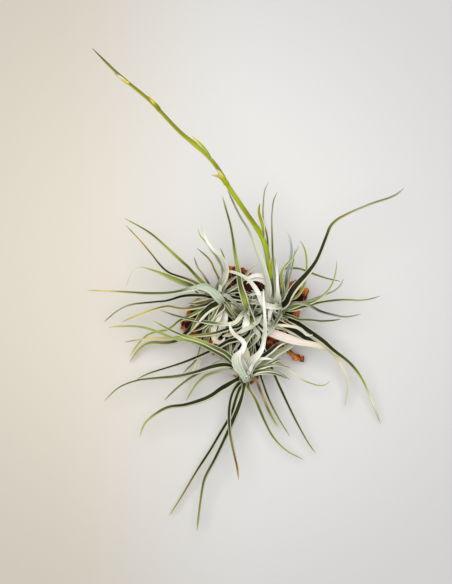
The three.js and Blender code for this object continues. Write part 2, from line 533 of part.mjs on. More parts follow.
function isOverBark(x, y) {
  let inside = false;
  BARK_OUTLINE.forEach(([x1, y1], index) => {
    const [x2, y2] = BARK_OUTLINE[(index + 1) % BARK_OUTLINE.length];
    if ((y1 > y) !== (y2 > y) && x < x1 + ((y - y1) * (x2 - x1)) / (y2 - y1)) inside = !inside;
  });
  return inside;
}

function liftOffFloor(blade) {
  blade.places.forEach((place, step) => {
    if (step === 0) return;
    const width = blade.widths[step];
    const below = width * CHANNEL_PART + (width / 2) * Math.sin(Math.abs(blade.rolls[step]));
    const floor = isOverBark(place.x, place.y) ? BARK_TOP + BARK_CLEARANCE : TABLE_CLEARANCE;
    place.z = Math.max(place.z, floor + below);
  });
}

function partBlades(blades) {
  const starts = blades.map((blade) => blade.places.map((place) => place.clone()));
  for (let round = 0; round < PARTING_ROUNDS; round += 1) {
    const boxes = blades.map(bladeBoxes);
    const bounds = boxes.map(boundsOf);
    let moved = false;
    blades.forEach((first, i) => blades.slice(i + 1).forEach((second, offset) => {
      const j = i + 1 + offset;
      if (!bounds[i].intersectsBox(bounds[j])) return;
      if (partPair(first, second, boxes[i], boxes[j])) moved = true;
    }));
    if (!moved) break;
    if (round < SMOOTH_ROUNDS) blades.forEach((blade, index) => smoothMoves(blade, starts[index]));
    blades.forEach((blade, index) => limitMoves(blade, starts[index]));
    blades.forEach(liftOffFloor);
  }
}

function makeLeaves(side, stem) {
  let number = 0;
  return leaves[side].map((leaf) => {
    const seat = seatLeaf(stem, leaf);
    if (leaf.name) return makeBlade(leaf.name, leaf, seat, stalkSection);
    number += 1;
    return makeBlade(`${side}_leaf_${String(number).padStart(2, '0')}`, leaf, seat, leafSection);
  });
}

// A bract's base rests just off the stalk's skin, and points the way the bract grows
function makeBract(stalk, bract, index) {
  const path = new THREE.CatmullRomCurve3(stalk.places);
  const node = path.getPointAt(bract.at);
  const tangent = path.getTangentAt(bract.at);
  const off = new THREE.Vector3(...bract.off);
  off.addScaledVector(tangent, -off.dot(tangent)).normalize();
  const heading = truePoint(bract.points[0]).sub(node).setZ(0).normalize();
  const side = UP.clone().cross(heading);
  const depths = leafSection(bract.widths[0]).map(([across, height]) => (
    -across * side.dot(off) - height * UP.dot(off)
  ));
  const reach = listValue(stalk.widths, bract.at) / 2 + Math.max(...depths);
  const foot = node.addScaledVector(off, reach);
  return makeBlade(`stalk_bract_0${index + 1}`, bract, { foot, outward: heading }, leafSection);
}

makeBark();
const blades = [];
for (const [side, stem] of Object.entries(stems)) {
  stem.axis = truePoint([...stem.place, stem.tip]).setZ(0);
  stem.seats = [];
  makeStem(side, stem);
  blades.push(...makeLeaves(side, stem));
}
const stalk = blades.find((blade) => blade.section === stalkSection);
blades.push(...BRACTS.map((bract, index) => makeBract(stalk, bract, index)));
partBlades(blades);
for (const blade of blades) addPiece(blade.name, bladeMesh(blade), BLADE_COLOURS[blade.colour], 0.7);

export default plant;
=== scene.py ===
"""Looks of a clump of arhiza air plants on bark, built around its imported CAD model.

Each operator makes one group of like pieces, and main runs them in order. Lengths are in metres.
"""
import json
import math
import random

import bpy
import numpy as np
from bpy.props import FloatProperty, FloatVectorProperty, IntProperty, PointerProperty
from bpy.types import Operator, Panel, PropertyGroup
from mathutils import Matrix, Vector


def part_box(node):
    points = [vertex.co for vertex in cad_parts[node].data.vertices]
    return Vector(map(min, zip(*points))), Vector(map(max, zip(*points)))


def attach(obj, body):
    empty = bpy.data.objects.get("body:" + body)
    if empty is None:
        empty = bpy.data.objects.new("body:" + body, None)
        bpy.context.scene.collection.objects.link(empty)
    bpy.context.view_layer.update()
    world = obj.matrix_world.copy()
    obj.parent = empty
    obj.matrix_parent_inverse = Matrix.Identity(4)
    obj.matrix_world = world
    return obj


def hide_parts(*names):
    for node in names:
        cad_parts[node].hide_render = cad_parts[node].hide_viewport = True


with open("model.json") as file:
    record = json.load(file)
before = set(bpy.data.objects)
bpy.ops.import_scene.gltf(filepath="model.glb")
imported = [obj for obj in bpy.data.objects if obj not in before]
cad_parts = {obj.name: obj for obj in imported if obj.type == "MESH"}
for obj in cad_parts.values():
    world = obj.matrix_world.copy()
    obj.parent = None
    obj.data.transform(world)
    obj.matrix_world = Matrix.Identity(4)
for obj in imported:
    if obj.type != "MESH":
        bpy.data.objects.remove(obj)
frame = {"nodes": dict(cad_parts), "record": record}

bl_info = {
    "name": "Arhiza Air Plant",
    "version": (1, 0, 0),
    "blender": (4, 5, 0),
    "location": "3D View > Sidebar > Air Plant",
    "description": "Leaves, flower stalk and bark of a clump of arhiza air plants, and their stage",
    "category": "Object",
}

BODY = "root"
MM = 0.001
NODES = frame["nodes"]
SLOTS = {part["node"]: part["material_slot"] for part in frame["record"]["subparts"]}
ROSETTES = ("left", "right", "centre", "lower")

# The eye that the photograph was taken from, straight above the plant, the height where one
# millimetre of the view from above is a true one, the photograph's size, where a pixel is such a
# millimetre, and the width of the camera's sensor in millimetres
EYE = (-0.014, 0.028, 1.5)
TRUE_HEIGHT = 0.05
PHOTO_SIZE = (452, 584)
SENSOR = 36


def hue(code):
    """The linear colour of a hex code, with full alpha."""
    parts = [int(code[start:start + 2], 16) / 255 for start in (1, 3, 5)]
    linear = [part / 12.92 if part <= 0.04045 else ((part + 0.055) / 1.055) ** 2.4
              for part in parts]
    return (*linear, 1.0)


def hue_property(name, description, code):
    return FloatVectorProperty(
        name=name, description=description, default=hue(code), size=4, min=0, max=1,
        subtype="COLOR")


class AirPlantLeafSettings(PropertyGroup):
    row_step: FloatProperty(
        name="Row Step", description="Length of a blade between two rows of its mesh",
        default=3 * MM, min=1 * MM, unit="LENGTH")
    columns: IntProperty(
        name="Columns", description="Faces across a blade", default=8, min=4, max=16)
    flesh: FloatProperty(
        name="Flesh", description="Thickness in the middle of a wide blade",
        default=1.25 * MM, min=0.2 * MM, unit="LENGTH")
    edge_flesh: FloatProperty(
        name="Edge Flesh", description="Thickness at a blade's edge, as a share of the middle",
        default=0.22, min=0.05, max=1, subtype="FACTOR")
    sheath_reach: FloatProperty(
        name="Sheath Reach", description="Length over which a base widens to clasp its stem",
        default=24 * MM, unit="LENGTH")
    slimming: FloatProperty(
        name="Slimming",
        description="Width of a blade's channel against its CAD width, to leave room for flesh",
        default=0.84, min=0.5, max=1, subtype="FACTOR")
    sheath_width: FloatProperty(
        name="Sheath Width", description="Width of a blade's base against its width further out",
        default=1.35, min=1, max=2)
    inner_leaves: IntProperty(
        name="Inner Leaves", description="Short leaves low on each rosette",
        default=15, min=0, max=40)
    curl: FloatProperty(
        name="Channel Curl", description="How far each half of a blade curls up into a channel",
        default=math.radians(46), subtype="ANGLE")
    base_curl: FloatProperty(
        name="Base Curl", description="The same at the base, where the blade clasps its stem",
        default=math.radians(78), subtype="ANGLE")


class AirPlantHues(PropertyGroup):
    deep: hue_property("Deep Green", "The darkest leaf channels", "#121406")
    dark: hue_property("Dark Green", "Dark leaf channels", "#23270d")
    green: hue_property("Green", "Middle of a healthy leaf", "#475426")
    olive: hue_property("Olive", "Aged or sunned green", "#716c34")
    lime: hue_property("Lime", "Fresh growth", "#8b9840")
    bright: hue_property("Bright Lime", "The flower stalk's lit side", "#9fb00f")
    moss: hue_property("Moss", "The flower stalk's shaded side", "#7b8008")
    # Straw also paints the highlight along the flower stalk's lit side
    straw: hue_property("Straw", "Pale rim along the flower stalk", "#cbc24e")
    yellow: hue_property("Yellow", "Yellow leaf tips", "#bfb04b")
    amber: hue_property("Amber", "Orange part of a drying tip", "#b08c2c")
    tan: hue_property("Tan", "Dry tips", "#ab9463")
    brown: hue_property("Brown", "Dead tips and sheaths", "#544230")
    mint: hue_property("Mint", "Green under a thin silver coat", "#adbaa3")
    grey: hue_property("Grey Green", "Half covered in silver scales", "#868c6d")
    silver: hue_property("Silver", "Covered in silver scales", "#c5c7b3")
    white: hue_property("White", "Thickest silver scales", "#eeeee8")
    blue: hue_property("Blue Grey", "Scales in cool shade", "#8999a0")
    cream: hue_property("Cream", "Dry papery leaves", "#dcd3ba")
    pink: hue_property("Pink Cream", "Dry leaves with a pink tone", "#dccfc8")


class AirPlantBarkSettings(PropertyGroup):
    grain: FloatProperty(
        name="Grain", description="Size of the cells that the bark's mesh is rebuilt from",
        default=1.5 * MM, min=0.5 * MM, unit="LENGTH")
    lumps: FloatProperty(
        name="Lumps", description="Height of the bark's large lumps", default=7 * MM, unit="LENGTH")
    nuggets: FloatProperty(
        name="Nuggets", description="Height of the bark's rounded nuggets",
        default=6 * MM, unit="LENGTH")
    rust: hue_property("Rust", "Outside of the bark", "#ad4c1b")
    # Orange is part wear, part a painted highlight on the bark's high spots
    glow: hue_property("Orange", "Worn high spots of the bark", "#e38b3e")
    heart: hue_property("Maroon", "Broken inside of the bark", "#512317")
    # Painted shade: near black laid into the bark's cracks and hollows
    painted_hollow_shade: hue_property("Dark", "Cracks and hollows of the bark", "#170a07")


class AirPlantStageSettings(PropertyGroup):
    warm: hue_property("Warm Floor", "Floor at the left of the view", "#cfc9bd")
    cool: hue_property("Cool Floor", "Floor at the right of the view", "#d5d5d5")
    key_power: FloatProperty(
        name="Key Light", description="Power of the large soft light",
        default=41, min=0, unit="POWER")
    key_hue: FloatVectorProperty(
        name="Key Hue", description="Colour of the large soft light",
        default=(1, 0.985, 0.955), size=3, min=0, max=1, subtype="COLOR")
    fill: FloatProperty(
        name="Fill", description="Strength of the light from all round", default=0.52, min=0)


# What each blade looks like from base to tip: its channel, then its back
BLADE_LOOKS = {
    "left_leaf_01": ("green deep deep dark olive lime tan", "mint grey green grey lime yellow"),
    "left_leaf_02": ("green green dark olive olive", "mint grey grey olive tan"),
    "left_leaf_03": ("silver grey green green", "silver silver grey grey"),
    "left_leaf_04": ("green lime green lime lime yellow", "mint lime lime lime lime yellow"),
    "left_leaf_05": ("mint dark olive olive yellow tan", "silver grey olive yellow yellow tan"),
    "left_leaf_06": ("green dark deep dark grey green", "silver silver silver grey grey olive"),
    "left_leaf_07": (
        "green olive olive dark dark olive amber brown",
        "mint olive olive olive dark olive yellow grey"),
    "left_leaf_08": ("mint lime green lime green lime", "silver lime silver lime lime lime"),
    "left_leaf_09": ("silver grey grey silver", "silver silver silver silver"),
    "left_leaf_10": ("green olive olive olive brown", "mint grey olive olive brown"),
    "left_leaf_11": (
        "mint mint mint green green green olive yellow tan",
        "mint mint mint grey green yellow yellow tan"),
    "left_leaf_12": (
        "mint grey silver silver white silver", "mint silver silver white white silver"),
    "right_leaf_01": (
        "green deep deep dark green lime cream lime",
        "silver grey green lime lime cream lime lime"),
    "right_leaf_02": ("green green green green green", "mint grey green green olive"),
    "right_leaf_03": ("lime green green green lime green", "mint lime lime green green lime"),
    "right_leaf_04": ("green lime green lime lime lime", "mint lime lime grey lime yellow"),
    "right_leaf_05": ("green olive green olive green", "mint grey grey green olive"),
    "right_leaf_06": ("green olive green olive grey", "mint grey grey grey silver"),
    "right_leaf_07": ("mint grey grey dark grey lime", "silver grey grey dark grey silver"),
    "right_leaf_08": ("green lime lime lime lime", "mint lime lime lime yellow"),
    "right_leaf_09": ("green dark green blue blue silver", "mint silver blue blue blue white"),
    "right_leaf_10": ("mint grey grey green grey olive", "silver silver grey green grey olive"),
    "right_leaf_11": ("green green lime lime grey", "mint silver lime lime grey"),
    "right_leaf_12": (
        "mint silver silver silver grey grey", "white silver silver silver grey grey"),
    "right_leaf_13": ("silver silver white silver", "silver white white silver"),
    "right_leaf_14": (
        "deep deep dark dark dark olive grey olive grey",
        "grey silver silver silver silver cream silver olive"),
    "right_leaf_15": (
        "silver pink white silver silver silver", "silver pink white white silver silver"),
    "stalk_bract_01": ("bright moss lime moss moss", "bright straw bright straw moss"),
    "stalk_bract_02": ("bright lime bright straw", "bright bright straw straw"),
    "centre_leaf_01": ("green dark dark dark olive lime", "silver grey grey green olive tan"),
    "centre_leaf_02": ("green dark dark dark green lime", "silver silver grey green green olive"),
    "centre_leaf_03": ("green deep deep deep dark olive", "silver grey brown dark dark brown"),
    "centre_leaf_04": (
        "green dark dark olive lime yellow yellow brown",
        "silver mint green lime lime yellow yellow brown"),
    "centre_leaf_05": (
        "silver white pink pink cream cream cream silver silver",
        "silver white pink pink cream cream cream silver silver"),
    "centre_leaf_06": ("silver green grey silver", "silver silver silver silver"),
    "centre_leaf_07": ("silver silver silver silver", "silver white silver silver"),
    "centre_leaf_08": (
        "silver silver silver green green green grey", "silver white silver mint green green grey"),
    "centre_leaf_09": (
        "mint lime green lime green green lime", "silver lime lime green lime lime lime"),
    "lower_leaf_01": (
        "grey tan brown tan olive lime yellow", "silver cream tan grey tan lime yellow"),
    "lower_leaf_02": ("green olive green olive lime lime", "mint grey green lime lime"),
    "lower_leaf_03": ("green dark dark dark olive lime", "mint silver green olive olive lime"),
    "lower_leaf_04": (
        "green dark dark dark green olive lime", "silver grey green dark green olive lime"),
    "lower_leaf_05": ("lime cream lime cream lime tan", "lime silver lime lime lime tan"),
    "lower_leaf_06": ("silver silver green olive olive", "silver silver grey olive olive"),
    "lower_leaf_07": ("silver silver lime lime lime", "silver silver lime yellow lime"),
    "lower_leaf_08": (
        "green dark dark dark olive brown amber", "silver grey green green olive amber olive"),
    "lower_leaf_09": (
        "green dark deep dark dark green lime yellow", "silver grey dark dark green green lime"),
    "lower_leaf_10": (
        "green dark dark green green green lime", "silver grey grey green green grey lime"),
    "lower_leaf_11": (
        "mint green green lime lime lime yellow", "silver silver silver silver lime lime lime"),
    "lower_leaf_12": ("mint grey grey grey silver", "silver white white silver silver"),
    "lower_leaf_13": ("mint green green lime green lime", "silver silver green lime lime lime"),
    "lower_leaf_14": ("green deep deep dark silver", "silver silver silver white white"),
    "lower_leaf_15": (
        "mint silver white silver white white", "mint silver white white white white"),
    "lower_leaf_16": ("mint silver white white silver white", "mint white white white white white"),
}

# Blades drawn wider than their CAD nodes
BLADE_WIDTHS = {
    "left_leaf_12": 1.35, "right_leaf_07": 1.2, "right_leaf_09": 1.5,
    "stalk_bract_01": 1.4, "stalk_bract_02": 1.15,
}

# Leaves whose bases are broad clasping sheaths: width at the base and its reach along the leaf,
# in millimetres. Other bases follow their leaf's width, and none is narrower than LEAST_BASE.
BROAD_BASES = {
    "left_leaf_03": (10, 30), "left_leaf_11": (13, 30), "left_leaf_12": (12, 34),
    "right_leaf_10": (10, 40), "right_leaf_12": (12, 44), "right_leaf_13": (12, 46),
    "right_leaf_14": (11, 40), "right_leaf_15": (9, 30), "centre_leaf_07": (8, 16),
    "centre_leaf_08": (9, 26), "centre_leaf_09": (10, 30), "lower_leaf_14": (9, 34),
    "lower_leaf_15": (12, 44), "lower_leaf_16": (14, 34),
}
LEAST_BASE = 6.5

# How a leaf's line comes out of its stem: share of the way in to the stem's middle, and drop
CLASP = ((0.7, 7 * MM), (0.45, 2.2 * MM))

# Where a CAD blade's channel lies under its rims and how wide its tip is, as shares of its width
CHANNEL_DEPTH = 0.25
TIP_WIDTH = 0.1

# How a blade is shaped: least rows of its mesh, least width, least flesh, flesh against width, how
# much its width and its curl swell along it, and about one full turn in radians for those waves
LEAST_ROWS = 10
LEAST_WIDTH = 0.25 * MM
LEAST_FLESH = 0.25 * MM
FLESH_SHARE = 0.22
WIDTH_WAVE = 0.05
CURL_WAVE = 0.12
ROUND = 6.28

# Steps so small that they only give a direction, points so close that they are one, and a way that
# no tube runs along
STEP_ASIDE = 0.004
SAME_POINT = 1e-6
NEARLY_UP = (0.02, 0.01, 1)

# Painted light across the blades: a fixed direction in the view, towards which each blade's pale
# margin and the painted shade inside it shift, so the margin shows wider on that side and narrower
# on the other, and how far
PAINTED_LIGHT_SIDE = np.array([0.5, -0.85, 0])
PAINTED_LIGHT_SHIFT = -0.3

# How each leaf finish differs: roughness of the channel and the back, pale veins, pale edges (which
# also set the painted shade just inside them), their straw tone, scurf, streaks
LEAF_FINISHES = {
    "leaf_green": (0.5, 0.7, 0.6, 1.0, 0.2, 0.02, 0.32),
    "leaf_silver": (0.62, 0.75, 0.08, 0.4, 0.0, 0.06, 0.12),
    "leaf_lime": (0.5, 0.65, 0.4, 0.9, 0.25, 0.04, 0.3),
    "leaf_dry": (0.8, 0.85, 0.06, 0.2, 0.1, 0.05, 0.16),
    "stem": (0.8, 0.85, 0.15, 0.5, 0.0, 0.1, 0.2),
}

# Turns of the wave that makes four veins across a channel. Then where the painted shade just inside
# its pale edge starts and ends and where its pale edge starts, from the channel's middle at 0 to
# its rim at 1.
VEIN_TURNS = 6.2832 * 4
PAINTED_EDGE_SHADE_START = (0.4, 0.5)
PAINTED_EDGE_SHADE_END = (0.66, 0.56)
PALE_EDGE = (0.56, 0.68)

# The papery scales of each heart: how many, the turn from one to the next, widths from foot to
# tip in millimetres, and looks up to a share of the heart's height
SCALES = 26
SCALE_TURN = 2.39996
SCALE_WIDTHS = (7.5, 8.5, 7.8, 6, 3.6, 0.6)
SCALE_LOOKS = (
    (0.35, ("cream tan brown tan", "cream tan tan brown")),
    (0.6, ("cream grey green grey", "cream silver mint tan")),
    (2, ("mint mint silver white", "silver mint silver white")),
)

# The short leaves round each heart: where they lean in to, how far they fan out to either side of
# that in radians, the share of a fan from one to the next, the lowest they hang, and their looks,
# the last one for dry leaves
CLUMP_MIDDLE = np.array([0.008, -0.012])
INNER_FANS = {"left": 2.2, "right": 2.0, "centre": 3.1, "lower": 1.25}
INNER_SHARE = 0.618034
INNER_LOWEST = 17 * MM
INNER_LOOKS = (
    ("green dark green olive", "mint silver silver olive"),
    ("dark deep dark green", "silver silver grey olive"),
    ("grey silver grey silver", "silver white silver white"),
    ("green olive green olive", "silver silver grey yellow"),
    ("deep dark green dark", "silver silver white grey"),
    ("dark green grey green", "silver white grey silver"),
    ("tan cream brown tan", "cream pink tan brown"),
)

# Inner leaves left out, where the bark shows between the rosettes
INNER_GAPS = {"left": (3, 10, 12, 14), "right": (1, 9, 10, 11), "centre": (13, 14), "lower": (7,)}

# Roots on each rosette, how many steps one takes over the bark, a step's length, the least height
# of bark that it runs over, and its looks
ROOTS = 7
ROOT_STEPS = 8
ROOT_STEP = 3.6 * MM
ROOT_FLOOR = 3 * MM
ROOT_LOOKS = ("brown tan brown", "tan brown brown")

# The flower stalk's line: length from one point to the next, the reach over which it is evened
# out, the radius of its tip, and how many points below its foot a bract starts
STALK_STEP = 2.5 * MM
STALK_EVENING = 20 * MM
STALK_TIP = 0.2 * MM
BRACT_ROOT = 4

# Thick rings on the flower stalk, as shares of its length, and how far one spreads
STALK_KNOTS = (0.12, 0.285, 0.475, 0.595, 0.746, 0.881)
KNOT_SPREAD = 0.006

# Looks of the flower stalk from foot to tip, with painted shade on its shaded side and a painted
# highlight on its lit side
STALK_LOOKS = (
    "mint green lime bright moss bright moss bright moss moss moss olive brown",
    "silver grey lime bright straw bright straw straw straw straw straw straw tan",
)

# Sheaths along the flower stalk: share where one starts, length in millimetres, turn round the
# stalk, how far the tip stands off in millimetres, channel and back. The widths are shares of the
# stalk's thickness.
SHEATH_WIDTHS = (2.5, 2.6, 2.6, 2.4, 2, 1.4, 0.3)
STALK_SHEATHS = (
    (0.12, 24, 2.2, 1, "lime bright bright straw", "lime bright bright straw"),
    (0.45, 20, 1.25, 2, "bright moss straw cream", "bright bright straw cream"),
    (0.47, 11, 0.2, 7, "lime yellow cream yellow", "bright yellow yellow cream"),
    (0.595, 19, 4.4, 0.8, "bright moss bright straw", "moss bright straw tan"),
    (0.746, 17, 2.4, 0.8, "moss bright straw yellow", "moss moss straw tan"),
    (0.86, 17, 0.8, 0.8, "straw cream tan brown", "straw straw cream tan"),
)

# Loose nuggets of bark round its rim, in millimetres as the eye above sees them: middle (x, y),
# length, width, height, and turn in degrees. Their middles are read at NUGGET_HEIGHT.
BARK_NUGGETS = (
    (35, -22, 24, 17, 10, -35), (29, -32, 12, 8, 6, 20), (26, -50, 10, 8, 6, 70),
    (-49, 16, 12, 8, 7, 15), (-51, 2, 14, 9, 7, 80), (-38, -6, 10, 7, 6, 40),
    (-31, -19, 9, 7, 5, 10), (-22, -34, 11, 7, 5, -20), (-4, 51, 13, 8, 7, -10),
    (9, 46, 9, 7, 6, 60), (57, 35, 13, 9, 7, 30), (64, 27, 9, 8, 6, -50), (50, -3, 11, 8, 6, 15),
    (60, -37, 8, 6, 6, -35), (-8, -49, 10, 7, 6, 25), (24, -23, 16, 12, 13, -30),
)
NUGGET_HEIGHT = 24

# The height where the bark's lump is widest, one above all of the bark, and how far off the floor
# loose nuggets stay
WAIST_HEIGHT = 9 * MM
ABOVE_ALL = 0.1
OFF_FLOOR = 0.2 * MM

# What rounds the bark: texture, its kind, its size, height against the bark's lumps or nuggets,
# which height, and middle level
BARK_WAVES = (
    ("bark_lumps", "CLOUDS", 16 * MM, 1, "lumps", 0.62),
    ("bark_nuggets", "VORONOI", 11 * MM, -1, "nuggets", 0.22),
    ("bark_chips", "VORONOI", 4.5 * MM, -0.35, "nuggets", 0.3),
    ("bark_grain", "CLOUDS", 2 * MM, 0.2, "nuggets", 0.5),
)

# Names of the colours that make a small leaf a green one, the tip of such a leaf against its width,
# how far its base drops towards its stem, and how far from the stem it may start to be led in
GREENS = ("deep", "dark", "green", "olive", "lime")
SMALL_TIP = 0.3
SMALL_DROP = 3 * MM
NEAR_STEM = 2 * MM
FAR_FROM_STEM = 20 * MM

# Stage: side of the floor, the middle of the pool of light painted on it, and the large soft
# light's place, its lean in degrees and its size
FLOOR_SIZE = 8
PAINTED_POOL_MIDDLE = (-0.04, 0.04, 0)
KEY_PLACE = (-0.2, 0.36, 2.1)
KEY_LEAN = (-9.0, -5.3)
KEY_SIZE = 1.7

# Light from all round: how strong it is at the horizon and overhead, against the fill, and the rise
# where it is strongest
HORIZON_SHARE = 0.88
OVERHEAD_SHARE = 1.02
SKY_RISE = 0.45

